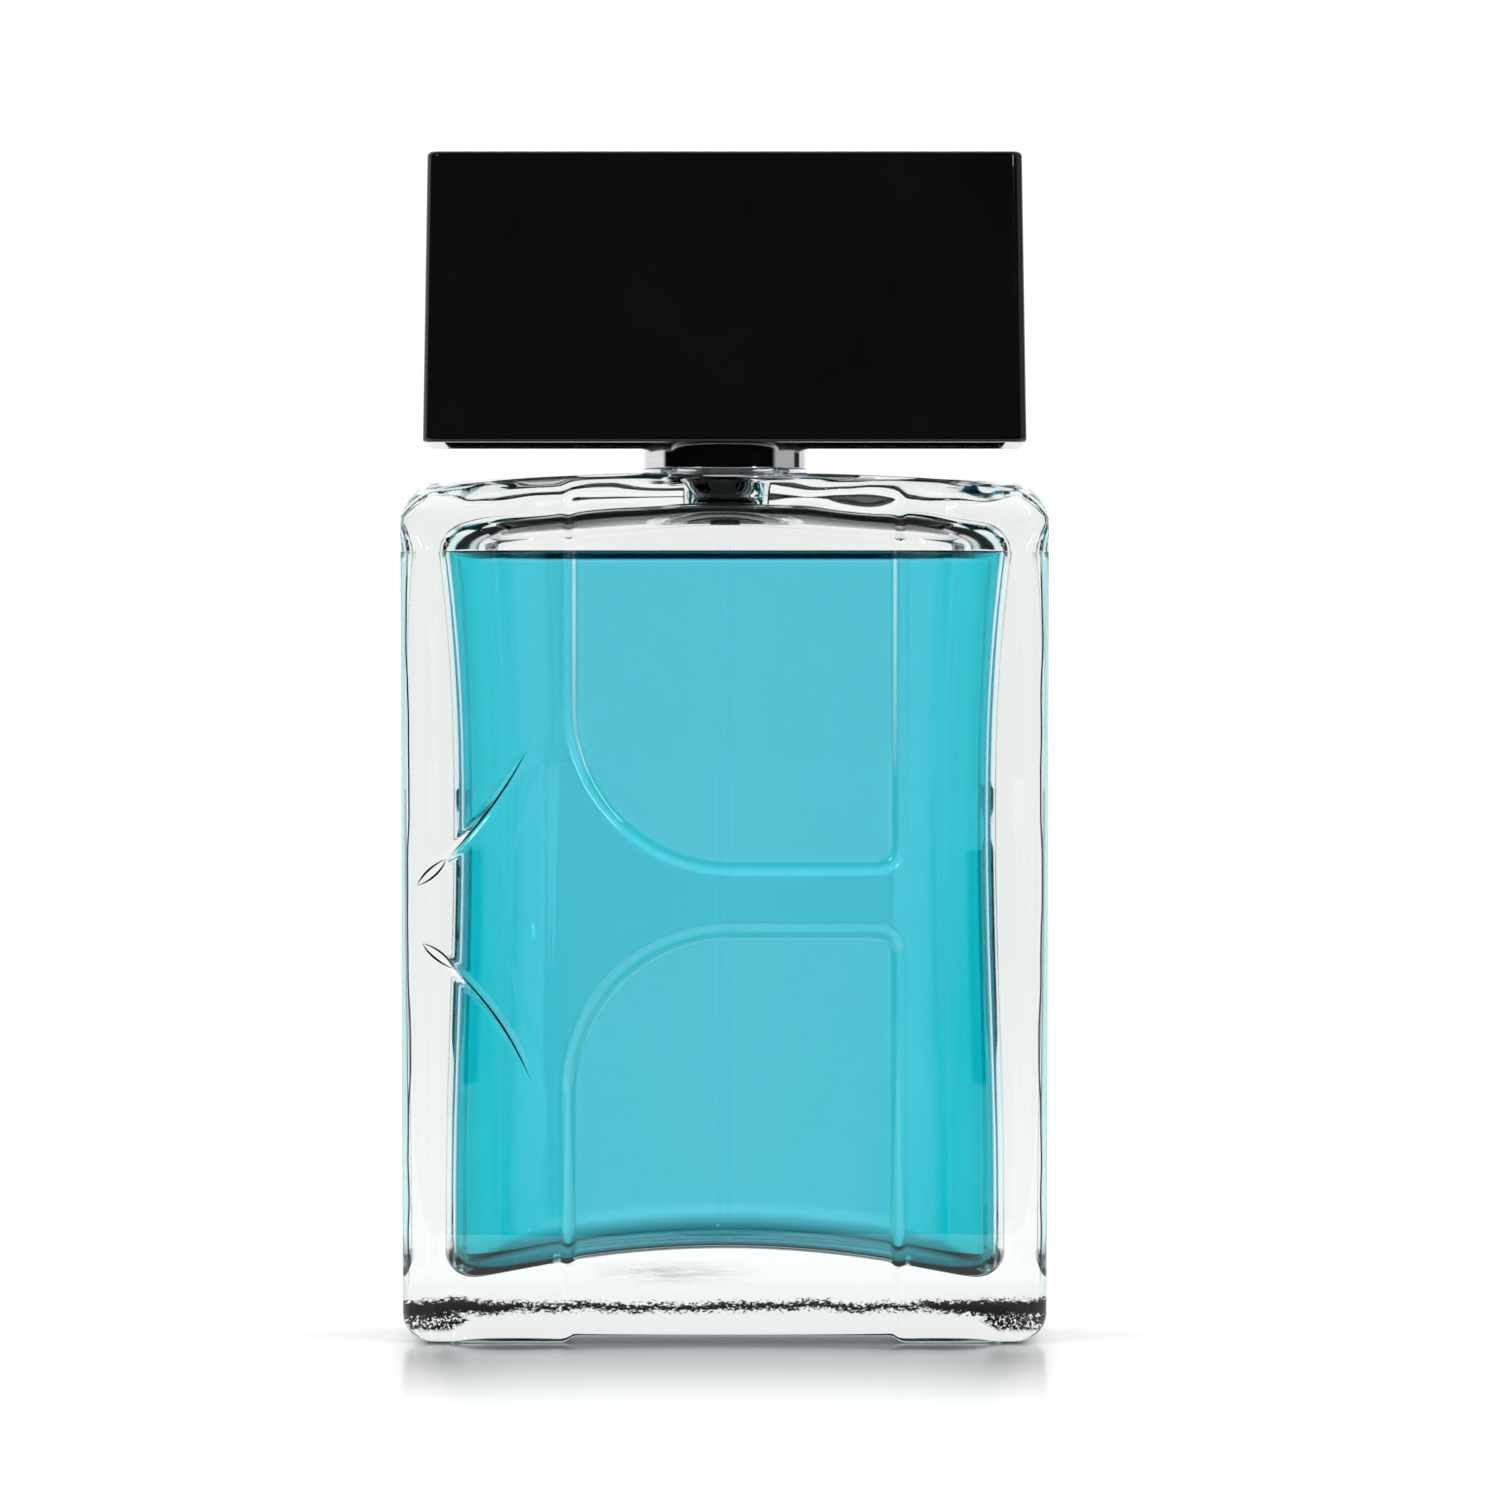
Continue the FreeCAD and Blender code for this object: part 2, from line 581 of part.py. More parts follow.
def cap_insert():
    """Plate that closes the cap's underside, with a socket that grips the collar and rests on top of it."""
    inner_corner = 0.8
    fit = 0.02
    plate_top = INSERT_BOTTOM_Z + INSERT_PLATE
    insert = drafted_block(INSERT_BOTTOM_Z, plate_top, CAP_WALL + fit, inner_corner)
    socket_r = COLLAR_R + INSERT_GRIP
    tube_r = socket_r + INSERT_TUBE_WALL
    insert = insert.fuse(rod(tube_r, plate_top - 0.5, INSERT_TOP_Z))
    half_width, half_depth = cap_half_size(INSERT_TOP_Z)
    for half_length, turn in ((half_width, 0), (half_depth, 90)):
        length = 2 * (half_length - CAP_WALL - 0.1)
        rib = Part.makeBox(length, 2 * INSERT_RIB_HALF, INSERT_TOP_Z - plate_top - 1,
                           vec(-length / 2, -INSERT_RIB_HALF, plate_top - 0.5))
        rib.rotate(ORIGIN, UP, turn)
        insert = insert.fuse(rib)
    insert = insert.cut(rod(socket_r, INSERT_BOTTOM_Z - 1, COLLAR_TOP_Z + INSERT_SEAT_GAP))
    return insert.cut(rod(INSERT_LIP_R, COLLAR_TOP_Z - 1, INSERT_TOP_Z + 1))


def parts():
    """Every piece at rest, by the name of its node."""
    main = MAIN_SPRING
    valve = VALVE_SPRING
    return {
        "glass_bottle": glass_bottle(),
        "liquid": liquid(),
        "neck_gasket": neck_gasket(),
        "pump_housing": pump_housing(),
        "inlet_ball": inlet_ball(),
        "dip_tube": dip_tube(),
        "turret": turret(),
        "stem_seal": stem_seal(),
        "pump_stem": pump_stem(),
        "piston_seat": piston_seat(),
        "piston": piston(),
        "main_spring": coil_spring(main["wire"], main["radius"], main["turns"],
                                   CHAMBER_FLOOR_Z, SEAT_BOTTOM_Z),
        "secondary_spring": coil_spring(valve["wire"], valve["radius"], valve["turns"],
                                        PISTON_TOP_Z, STEM_SHOULDER_Z),
        "pump_ferrule": pump_ferrule(),
        "collar_shell": collar_shell(),
        "collar_liner": collar_liner(),
        "actuator_shell": actuator_shell(),
        "actuator_body": actuator_body(),
        "nozzle_insert": nozzle_insert(),
        "cap_shell": cap_shell(),
        "cap_insert": cap_insert(),
    }


os.makedirs("parts", exist_ok=True)
for name, shape in parts().items():
    solids = len(shape.Solids)
    print(f"{name:18s} solids {solids} valid {shape.isValid()} volume {shape.Volume:.3f} mm3")
    shape.exportStep(f"parts/{name}.step")
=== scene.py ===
import math

import bmesh
import bpy
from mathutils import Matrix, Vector


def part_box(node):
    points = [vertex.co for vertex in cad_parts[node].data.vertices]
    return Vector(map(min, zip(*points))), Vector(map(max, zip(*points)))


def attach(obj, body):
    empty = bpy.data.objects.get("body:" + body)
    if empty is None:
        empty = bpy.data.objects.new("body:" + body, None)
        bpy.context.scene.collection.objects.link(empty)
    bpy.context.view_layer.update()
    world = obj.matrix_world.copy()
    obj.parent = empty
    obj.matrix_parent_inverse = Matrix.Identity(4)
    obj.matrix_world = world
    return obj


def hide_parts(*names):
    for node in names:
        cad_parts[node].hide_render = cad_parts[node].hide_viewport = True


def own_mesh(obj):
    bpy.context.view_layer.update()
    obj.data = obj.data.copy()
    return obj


# A rectangular glass aftershave bottle with a spray pump and a black block cap. Shapes are worked out in
# millimetres, in the frame of the CAD model, and written to the meshes in metres.

MM = 0.001

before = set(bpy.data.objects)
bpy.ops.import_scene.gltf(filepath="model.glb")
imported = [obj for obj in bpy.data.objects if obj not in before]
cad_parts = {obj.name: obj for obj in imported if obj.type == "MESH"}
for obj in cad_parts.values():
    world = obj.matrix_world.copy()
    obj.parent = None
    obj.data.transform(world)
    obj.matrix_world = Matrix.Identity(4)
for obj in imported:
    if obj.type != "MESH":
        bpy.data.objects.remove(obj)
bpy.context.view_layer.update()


def node_box(node):
    """Lowest and highest corner of a CAD node, in millimetres."""
    low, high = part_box(node)
    return [c / MM for c in low], [c / MM for c in high]


def limits(value, low, high):
    return max(low, min(high, value))


def ease(t):
    """0 to 1 with level ends."""
    t = limits(t, 0.0, 1.0)
    return t * t * (3 - 2 * t)


def mix(a, b, t):
    return a + (b - a) * t


# ------------------------------------------------------------------ mesh helpers


def make_piece(name, points, faces, material, body, stands_for=()):
    """A smooth closed mesh from millimetre points, riding on a CAD body."""
    mesh = bpy.data.meshes.new(name)
    mesh.from_pydata([(x * MM, y * MM, z * MM) for x, y, z in points], [], faces)
    mesh.validate()
    mesh.shade_smooth()
    piece = bpy.data.objects.new(name, mesh)
    bpy.context.scene.collection.objects.link(piece)
    piece.data.materials.append(material)
    outward(piece)
    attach(piece, body)
    if stands_for:
        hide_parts(*stands_for)
    return piece


def outward(piece):
    """Turns every face's normal outwards."""
    mesh = bmesh.new()
    mesh.from_mesh(piece.data)
    bmesh.ops.recalc_face_normals(mesh, faces=mesh.faces)
    mesh.to_mesh(piece.data)
    mesh.free()


def runs(start, *stretches):
    """Grid lines from a start through (end, pitch) stretches, each divided evenly."""
    lines = [start]
    for end, pitch in stretches:
        count = max(1, round(abs(end - lines[-1]) / pitch))
        origin = lines[-1]
        lines += [origin + (end - origin) * (i + 1) / count for i in range(count)]
    return lines


def even(low, high, count):
    """Grid lines from low to high, evenly spaced."""
    return [mix(low, high, i / count) for i in range(count + 1)]


def rounded_axis(inner, turns):
    """Lattice lines along one axis of a rounded block: (clamped place, tangent of the turn past it)."""
    bends = [math.tan(math.radians(45 * (i + 1) / turns)) for i in range(turns)]
    low = [(inner[0], -t) for t in reversed(bends)]
    high = [(inner[-1], t) for t in bends]
    return low + [(place, 0.0) for place in inner] + high


class Lattice:
    """The six faces of a block of lattice cells, with shared corners and a place for each point."""

    def __init__(self, xs, ys, zs, place):
        self.axes = (xs, ys, zs)
        self.place = place
        self.points = []
        self.faces = []
        self.index = {}

    def point(self, i, j, k):
        key = (i, j, k)
        if key not in self.index:
            xs, ys, zs = self.axes
            self.index[key] = len(self.points)
            self.points.append(self.place(xs[i], ys[j], zs[k]))
        return self.index[key]

    def side(self, axis, at, skip=None):
        """Quads over the face of the block where one index is fixed."""
        first, second = [a for a in (0, 1, 2) if a != axis]
        for a in range(len(self.axes[first]) - 1):
            for b in range(len(self.axes[second]) - 1):
                if skip and skip(a, b):
                    continue
                corners = []
                for da, db in ((0, 0), (1, 0), (1, 1), (0, 1)):
                    key = [0, 0, 0]
                    key[axis] = at
                    key[first] = a + da
                    key[second] = b + db
                    corners.append(self.point(*key))
                self.faces.append(corners)


def loop_of_block(i0, i1, j0, j1):
    """Lattice steps once round a rectangle of cells, anticlockwise from its low corner."""
    steps = [(i, j0) for i in range(i0, i1)]
    steps += [(i1, j) for j in range(j0, j1)]
    steps += [(i, j1) for i in range(i1, i0, -1)]
    steps += [(i0, j) for j in range(j1, j0, -1)]
    return steps


def bridge(faces, ring_a, ring_b):
    """Quads between two closed rings of the same count."""
    count = len(ring_a)
    for i in range(count):
        j = (i + 1) % count
        faces.append((ring_a[i], ring_a[j], ring_b[j], ring_b[i]))


def stitch(points, faces, ring_a, ring_b):
    """Triangles between two closed rings about the Z axis that have different counts."""
    def by_angle(ring):
        turned = [(math.atan2(points[v][1], points[v][0]) % math.tau, v) for v in ring]
        return sorted(turned)
    a = by_angle(ring_a)
    b = by_angle(ring_b)
    a.append((a[0][0] + math.tau, a[0][1]))
    b.append((b[0][0] + math.tau, b[0][1]))
    i = j = 0
    while i < len(a) - 1 or j < len(b) - 1:
        step_a = j == len(b) - 1 or (i < len(a) - 1 and a[i + 1][0] <= b[j + 1][0])
        if step_a:
            faces.append((a[i][1], a[i + 1][1], b[j][1]))
            i += 1
        else:
            faces.append((b[j][1], a[i][1], b[j + 1][1]))
            j += 1


def turned_mesh(profile, segments):
    """Points and faces of a closed profile of (radius, height) turned about the Z axis."""
    points = []
    faces = []
    for s in range(segments):
        angle = math.tau * s / segments
        points += [(r * math.cos(angle), r * math.sin(angle), z) for r, z in profile]
    count = len(profile)
    for s in range(segments):
        t = (s + 1) % segments
        for i in range(count):
            j = (i + 1) % count
            faces.append((s * count + i, s * count + j, t * count + j, t * count + i))
    return points, faces


def arc_points(centre_r, centre_z, radius, start, end, count):
    """Profile points along an arc, its angles in degrees from the outward direction."""
    found = []
    for i in range(count + 1):
        angle = math.radians(mix(start, end, i / count))
        found.append((centre_r + radius * math.cos(angle), centre_z + radius * math.sin(angle)))
    return found


def coil(wire, radius, turns, bottom, top, sides=12, steps_per_turn=40):
    """Points and faces of a spring whose end turns close up and lie flat, with rounded wire ends."""
    closed = 0.75
    steps = int(turns * steps_per_turn)
    points = []
    faces = []
    low = bottom + wire / 2
    high = top - wire / 2
    for s in range(steps + 1):
        turn = turns * s / steps
        lead = ease((turn - closed * 0.5) / (turns - closed))
        slope_share = limits((turn - closed * 0.5) / (turns - closed), 0.0, 1.0)
        height = mix(low, high, mix(slope_share, lead, 0.35))
        angle = math.tau * turn
        end = min(s, steps - s)
        thin = (0.35, 0.8, 1.0)[min(end, 2)]
        for k in range(sides):
            round_angle = math.tau * k / sides
            r = radius + wire / 2 * thin * math.cos(round_angle)
            points.append((r * math.cos(angle), r * math.sin(angle),
                           height + wire / 2 * thin * math.sin(round_angle)))
    for s in range(steps):
        for k in range(sides):
            m = (k + 1) % sides
            a, b = s * sides, (s + 1) * sides
            faces.append((a + k, a + m, b + m, b + k))
    faces.append(tuple(range(sides)))
    faces.append(tuple(range(steps * sides, (steps + 1) * sides)))
    return points, faces


# ------------------------------------------------------------------ flutes in the front face

# The upright flute is (x, low end, high end). A curved one is the arc through three (x, z) points.

FLUTE_DEPTH = 0.32
FLUTE_HALF = 0.46
UPRIGHT_DEPTH = 0.16
UPRIGHT_HALF = 0.6
UPRIGHT_FLUTE = (-20.1, 26.0, 68.5)
CURVED_FLUTES = (
    ((-21.3, 65.6), (-26.6, 57.4), (-33.6, 50.2)),
    ((-21.0, 28.3), (-26.4, 37.6), (-33.0, 43.8)),
)


def circle_through(a, b, c):
    """Centre and radius of the circle through three points."""
    ax, ay = a
    bx, by = b[0] - ax, b[1] - ay
    cx, cy = c[0] - ax, c[1] - ay
    d = 2 * (bx * cy - by * cx)
    ux = (cy * (bx * bx + by * by) - by * (cx * cx + cy * cy)) / d
    uy = (bx * (cx * cx + cy * cy) - cx * (bx * bx + by * by)) / d
    return (ax + ux, ay + uy), math.hypot(ux, uy)


FLUTE_CIRCLES = [(start, end, *circle_through(start, middle, end)) for start, middle, end in CURVED_FLUTES]


# ------------------------------------------------------------------ node trees


class Nodes:
    """Short calls for building a node tree. A number may stand for a socket in its sums."""

    def __init__(self, tree):
        self.tree = tree

    def add(self, kind, **settings):
        node = self.tree.nodes.new(kind)
        for key, value in settings.items():
            setattr(node, key, value)
        return node

    def link(self, source, target):
        self.tree.links.new(source, target)

    def feed(self, source, target):
        """Gives a socket a number, or what another socket holds."""
        if isinstance(source, (int, float)):
            target.default_value = source
        else:
            self.link(source, target)

    def math(self, operation, *sources):
        node = self.add("ShaderNodeMath", operation=operation)
        for source, socket in zip(sources, node.inputs):
            self.feed(source, socket)
        return node.outputs["Value"]

    def off(self, source, middle):
        """How far a value is from the middle, either way."""
        return self.math("ABSOLUTE", self.math("SUBTRACT", source, middle))

    def remap(self, source, low, high, from_low=0.3, from_high=0.7):
        """From low to high as the source goes over its range, and level beyond it."""
        node = self.add("ShaderNodeMapRange")
        node.inputs["From Min"].default_value = from_low
        node.inputs["From Max"].default_value = from_high
        node.inputs["To Min"].default_value = low
        node.inputs["To Max"].default_value = high
        self.link(source, node.inputs["Value"])
        return node.outputs["Result"]

    def rise(self, source, start, end):
        """0 up to the start and 1 from the end on."""
        return self.remap(source, 0, 1, start, end)

    def fall(self, source, start, end):
        """1 up to the start and 0 from the end on."""
        return self.remap(source, 1, 0, start, end)

    def split(self, source):
        """The x, y and z of a vector."""
        node = self.add("ShaderNodeSeparateXYZ")
        self.link(source, node.inputs["Vector"])
        return [node.outputs[name] for name in "XYZ"]

    def ramp(self, source, stops):
        """A colour ramp from (place, colour) stops."""
        node = self.add("ShaderNodeValToRGB")
        while len(node.color_ramp.elements) < len(stops):
            node.color_ramp.elements.new(0.5)
        for element, (place, colour) in zip(node.color_ramp.elements, stops):
            element.position = place
            element.color = (*colour, 1)
        self.link(source, node.inputs["Fac"])
        return node.outputs["Color"]

    def by_angle(self, angle, low, high, stops):
        """A grey level that follows (degrees, level) stops as the angle goes from low to high degrees."""
        share = self.rise(angle, math.radians(low), math.radians(high))
        return self.ramp(share, [((turn - low) / (high - low), (level,) * 3) for turn, level in stops])

    def blend(self, share, first, second, kind="MIX"):
        """Two colour sockets mixed by a share."""
        node = self.add("ShaderNodeMix", data_type="RGBA", blend_type=kind)
        self.feed(share, node.inputs[0])
        self.link(first, node.inputs[6])
        self.link(second, node.inputs[7])
        return node.outputs[2]


class Surface(Nodes):
    """The nodes of a material."""

    def __init__(self, name):
        self.material = bpy.data.materials.new(name)
        self.material.use_nodes = True
        super().__init__(self.material.node_tree)
        self.shader = self.tree.nodes["Principled BSDF"]
        self.output = self.tree.nodes["Material Output"]

    def value(self, name, value):
        self.shader.inputs[name].default_value = value

    def drive(self, name, source):
        """Lets a socket set one of the surface's values."""
        self.link(source, self.shader.inputs[name])

    def clear(self, roughness, ior):
        """Makes the surface that of a clear thing."""
        self.value("Roughness", roughness)
        self.value("IOR", ior)
        self.value("Transmission Weight", 1.0)

    def place(self):
        """Where the surface point is on the object, in metres."""
        return self.add("ShaderNodeTexCoord").outputs["Object"]

    def axes(self):
        """The x, y and z of the surface point, in millimetres."""
        node = self.add("ShaderNodeVectorMath", operation="SCALE")
        node.inputs["Scale"].default_value = 1 / MM
        self.link(self.place(), node.inputs["Vector"])
        return self.split(node.outputs["Vector"])

    def noise(self, scale, detail=2.0, rough=0.5, stretch=(1, 1, 1)):
        """Noise about 0.5, with so many cells to a metre, more or fewer of them along each axis."""
        mapping = self.add("ShaderNodeMapping")
        mapping.inputs["Scale"].default_value = stretch
        self.link(self.place(), mapping.inputs["Vector"])
        node = self.add("ShaderNodeTexNoise")
        node.inputs["Scale"].default_value = scale
        node.inputs["Detail"].default_value = detail
        node.inputs["Roughness"].default_value = rough
        self.link(mapping.outputs["Vector"], node.inputs["Vector"])
        return node.outputs["Fac"]

    def colour(self, value):
        node = self.add("ShaderNodeRGB")
        node.outputs["Color"].default_value = (*value, 1)
        return node.outputs["Color"]

    def tint(self, source, first, second):
        """A colour that goes from first to second as the source goes from 0.3 to 0.7."""
        share = self.remap(source, 0, 1)
        self.drive("Base Color", self.blend(share, self.colour(first), self.colour(second)))

    def absorb(self, colour, density):
        """Colour taken up along the way through the body of the piece."""
        node = self.add("ShaderNodeVolumeAbsorption")
        node.inputs["Color"].default_value = (*colour, 1)
        node.inputs["Density"].default_value = density
        self.link(node.outputs["Volume"], self.output.inputs["Volume"])

    def bump(self, source, depth_mm, strength=1.0):
        node = self.add("ShaderNodeBump")
        node.inputs["Distance"].default_value = depth_mm * MM
        node.inputs["Strength"].default_value = strength
        self.link(source, node.inputs["Height"])
        self.drive("Normal", node.outputs["Normal"])


# ------------------------------------------------------------------ glass material

# Its dark marks are painted shade, laid on the front only, where shade is seen through the glass. Places and
# widths are in millimetres.

WHITE = (1, 1, 1)
BLACK = (0, 0, 0)
FRONT = (-12.5, -11.5)
SWIRL_RISE = (89.5, 94.5)
SWIRL_BACK = (-14.5, -9.5)
SWIRL_GAIN = 400
FLUTE_LINE = 0.14
LEAF_SHARE = 0.79
LEAF_HALF = 0.45
LEAF_LINE = 0.14
FOOT_LINE = 4.05
FOOT_DRIFT = 0.3
FOOT_HALF = (0.44, 0.90)
FOOT_JAGS = 0.4
FOOT_CORNER = (21, 29)
PATCH_HEIGHT = 2.6
PATCH_HALF = 1.4
PATCH_START = (27.5, 30)
EDGE_LINE = (34.3, 35.0)
EDGE_ENDS = (6, 90)
STREAKS_X = -6
STREAKS_Z = 7.7
EDGE_TINT = (34.7, 35.0)


def flute_line(m, x, z, start, end, centre, radius):
    """Share of painted shade along a flute: a fine dark line up its middle, and round the leaf that it ends
    in.
    """
    chord_x, chord_z = end[0] - start[0], end[1] - start[1]
    length_2 = chord_x ** 2 + chord_z ** 2
    along = m.math("MULTIPLY", m.math("SUBTRACT", x, start[0]), chord_x / length_2)
    along = m.math("MULTIPLY_ADD", m.math("SUBTRACT", z, start[1]), chord_z / length_2, along)
    off_x = m.math("SUBTRACT", x, centre[0])
    off_z = m.math("SUBTRACT", z, centre[1])
    reach = m.math("SQRT", m.math("MULTIPLY_ADD", off_x, off_x, m.math("MULTIPLY", off_z, off_z)))
    away = m.off(reach, radius)
    blur = 0.03

    def swell(first, last):
        """Rises from 0 and falls back to it between two shares of the flute's length."""
        angle = m.remap(along, 0.0, math.pi, first, last)
        return m.math("POWER", m.math("MAXIMUM", m.math("SINE", angle), 0.0), 0.7)

    stroke = m.math("SUBTRACT", m.math("MULTIPLY", swell(0.02, LEAF_SHARE - 0.01), FLUTE_LINE), away)
    leaf_half = m.math("MULTIPLY", swell(LEAF_SHARE, 1.0), LEAF_HALF)
    off_leaf = m.off(away, leaf_half)
    outline = m.math("SUBTRACT", m.math("MULTIPLY", swell(LEAF_SHARE - 0.01, 1.01), LEAF_LINE), off_leaf)
    return m.math("MAXIMUM", m.rise(stroke, 0, blur), m.rise(outline, 0, blur))


def foot_line(m, x, z):
    """Share of painted shade in the jagged dark line along the foot, which is thicker towards the corners.
    """
    drift = m.remap(m.noise(160, 2, stretch=(1, 0.05, 0.05)), -FOOT_DRIFT, FOOT_DRIFT)
    speckle = m.noise(3000, 5, 0.8, stretch=(0.7, 0.05, 1.3))
    jags = m.remap(speckle, -FOOT_JAGS, FOOT_JAGS, 0.4, 0.6)
    half = m.math("ADD", m.remap(m.math("ABSOLUTE", x), *FOOT_HALF, *FOOT_CORNER), jags)
    off_line = m.off(z, m.math("ADD", drift, FOOT_LINE))
    return m.rise(m.math("SUBTRACT", half, off_line), 0, 0.06)


def corner_flecks(m, x, z):
    """Share of painted shade in the dark flecked patches in the two lower corners."""
    half = m.math("MULTIPLY", m.rise(m.math("ABSOLUTE", x), *PATCH_START), PATCH_HALF)
    zone = m.rise(m.math("SUBTRACT", half, m.off(z, PATCH_HEIGHT)), 0, 0.4)
    flecks = m.rise(m.noise(2400, 4, 0.75, stretch=(1, 0.05, 1)), 0.44, 0.47)
    return m.math("MULTIPLY", zone, flecks)


def edge_line(m, x, z):
    """Share of painted shade in the fine dark upright line that wanders beside each edge."""
    foot, top = EDGE_ENDS
    wander = m.remap(m.noise(45, 2, stretch=(0.05, 0.05, 1)), *EDGE_LINE)
    line = m.fall(m.off(m.math("ABSOLUTE", x), wander), 0.07, 0.13)
    line = m.math("MULTIPLY", line, m.rise(z, foot, foot + 3))
    return m.math("MULTIPLY", line, m.fall(z, top - 6, top))


def base_grey_streaks(m, x, z):
    """Share of the grey streaks in the thick base, a little left of the middle."""
    spot = m.math("MULTIPLY", m.fall(m.off(x, STREAKS_X), 1, 11), m.fall(m.off(z, STREAKS_Z), 0.3, 1.5))
    streaks = m.remap(m.noise(1800, 5, 0.8, stretch=(0.22, 0.05, 1.6)), 0.1, 1, 0.35, 0.60)
    return m.math("MULTIPLY", spot, streaks)


def glass_material():
    """Clear glass with a faint green cast, a wavy front edge to its shoulder, and on its front dark marks of
    painted shade, grey streaks in the base, and a pale teal painted refraction along the side edges.
    """
    m = Surface("clear_glass")
    m.clear(0.0, 1.52)
    m.absorb((0.8355, 0.8865, 0.8595), 23.0)
    x, y, z = m.axes()
    shoulder = m.math("MULTIPLY", m.math("POWER", m.rise(z, *SWIRL_RISE), 2), m.fall(y, *SWIRL_BACK))
    swirl = m.remap(shoulder, 1, SWIRL_GAIN, 0, 1)
    m.bump(m.math("MULTIPLY", m.math("SUBTRACT", m.noise(150, 0), 0.5), swirl), 0.006, 0.85)
    # The dark marks are painted shade: black laid into the glass where shade is seen through it.
    dark = m.math("MAXIMUM", foot_line(m, x, z), corner_flecks(m, x, z))
    dark = m.math("MAXIMUM", dark, edge_line(m, x, z))
    for flute in FLUTE_CIRCLES:
        dark = m.math("MAXIMUM", dark, flute_line(m, x, z, *flute))
    front = m.fall(y, *FRONT)
    dark = m.math("MULTIPLY", dark, front)
    grey_streaks = m.math("MULTIPLY", base_grey_streaks(m, x, z), front)
    # Painted refraction: pale teal along the side edges of the front half, where the liquid's colour is seen
    # round them.
    edge = m.math("MULTIPLY", m.rise(m.math("ABSOLUTE", x), *EDGE_TINT), m.fall(y, -2, 0))
    colour = m.blend(edge, m.colour(WHITE), m.colour((0.60, 0.88, 0.88)))
    colour = m.blend(grey_streaks, colour, m.colour((0.35, 0.36, 0.37)))
    m.drive("Base Color", m.blend(dark, colour, m.colour(BLACK)))
    return m.material


# ------------------------------------------------------------------ liquid material

# Colours from the middle out to the side, and over the wall of a moulded panel in front of the liquid: the
# liquid's own colour in the middle, painted shade towards the side, and painted shade and painted highlights
# over the panel walls.
# Their places are shares of the way to SIDE_REACH, and of RIM_SPAN, which is a distance inside the panel's
# rim.

SIDE_REACH = 32
SIDE_TINTS = (
    (0.0, (0.0382, 0.545, 0.735)), (0.55, (0.032, 0.538, 0.728)), (0.75, (0.008, 0.50, 0.668)),
    (0.87, (0.0002, 0.452, 0.585)), (1.0, (0.0, 0.39, 0.51)),
)
RIM_SPAN = (-2, 4)
# Painted shade on a panel wall, and a painted highlight up the upper walls.
WALL_SHADE_TEAL = (0.02, 0.66, 0.60)
WALL_HIGHLIGHT = (16, 1.55, 1.35)
LOWER_WALL = ((0.28, (0.50, 0.91, 0.90)), (0.37, WALL_SHADE_TEAL), (0.53, WALL_SHADE_TEAL), (0.63, WHITE))
UPPER_WALL = (
    (0.26, (0.55, 0.93, 0.92)), (0.345, WALL_SHADE_TEAL), (0.42, WALL_HIGHLIGHT), (0.49, WALL_HIGHLIGHT),
    (0.56, WALL_SHADE_TEAL), (0.64, WHITE),
)


def liquid_material():
    """Blue-green liquid: part of its colour is in its depth, and the rest is laid on its front. That is its
    own colour in the middle, deepened by painted shade towards the sides and the floor, with painted shade
    and painted highlights along the walls of the moulded panels in front of it."""
    m = Surface("aftershave_liquid")
    m.clear(0.0, 1.36)
    m.absorb((0.0, 0.764, 0.905), 19.24)
    x, y, z = m.axes()
    # Painted shade: deeper from the liquid's own colour in the middle towards the sides, and sooner near the
    # floor.
    side = m.math("ADD", m.math("ABSOLUTE", x), m.remap(z, 4, 0, 10, 60))
    across = m.ramp(m.rise(side, 0, SIDE_REACH), SIDE_TINTS)
    # Painted shade and painted highlights over the panel walls.
    rim = m.rise(m.add("ShaderNodeAttribute", attribute_name="rim").outputs["Fac"], *RIM_SPAN)
    wall = m.blend(m.rise(z, 62, 82), m.ramp(rim, LOWER_WALL), m.ramp(rim, UPPER_WALL))
    # Painted shade: darker towards the floor.
    deep = m.blend(m.fall(z, 12, 45), m.colour(WHITE), m.colour((0.78, 0.88, 0.86)))
    tint = m.blend(1.0, m.blend(1.0, across, wall, "MULTIPLY"), deep, "MULTIPLY")
    normal_y = m.split(m.add("ShaderNodeNewGeometry").outputs["Normal"])[1]
    facing = m.rise(m.math("ABSOLUTE", normal_y), 0.42, 0.48)
    front = m.math("MULTIPLY", m.fall(y, -2, 2), facing)
    m.drive("Base Color", m.blend(front, m.colour(WHITE), tint))
    return m.material


# ------------------------------------------------------------------ plain materials


def clear_tube_material():
    m = Surface("clear_tube")
    m.value("Base Color", (0.99, 0.995, 1.0, 1))
    m.clear(0.02, 1.03)
    return m.material


def gloss_black_material():
    m = Surface("cap_gloss_black")
    m.tint(m.noise(60, 3), (0.0030, 0.0026, 0.0028), (0.0042, 0.0038, 0.0040))
    m.value("IOR", 1.48)
    m.drive("Roughness", m.remap(m.noise(900, 4), 0.045, 0.075))
    m.bump(m.noise(45, 1), 0.012, 0.35)
    return m.material


def moulded_material(name, first, second, rough, grain_mm=0.01):
    """Moulded plastic or rubber: slight mottling, uneven gloss and a fine spark-eroded grain."""
    m = Surface(name)
    m.tint(m.noise(300, 3), first, second)
    m.drive("Roughness", m.remap(m.noise(700, 3), rough - 0.06, rough + 0.06))
    m.bump(m.noise(5200, 3), grain_mm, 0.6)
    return m.material


def metal_material(name, first, second, rough, stretch, scale=1400):
    """Metal with drawing or turning marks along one direction."""
    m = Surface(name)
    m.value("Metallic", 1.0)
    marks = m.noise(scale, 2, stretch=stretch)
    m.tint(marks, first, second)
    m.drive("Roughness", m.remap(marks, rough * 0.8, rough * 1.25))
    m.bump(marks, 0.002, 0.3)
    return m.material


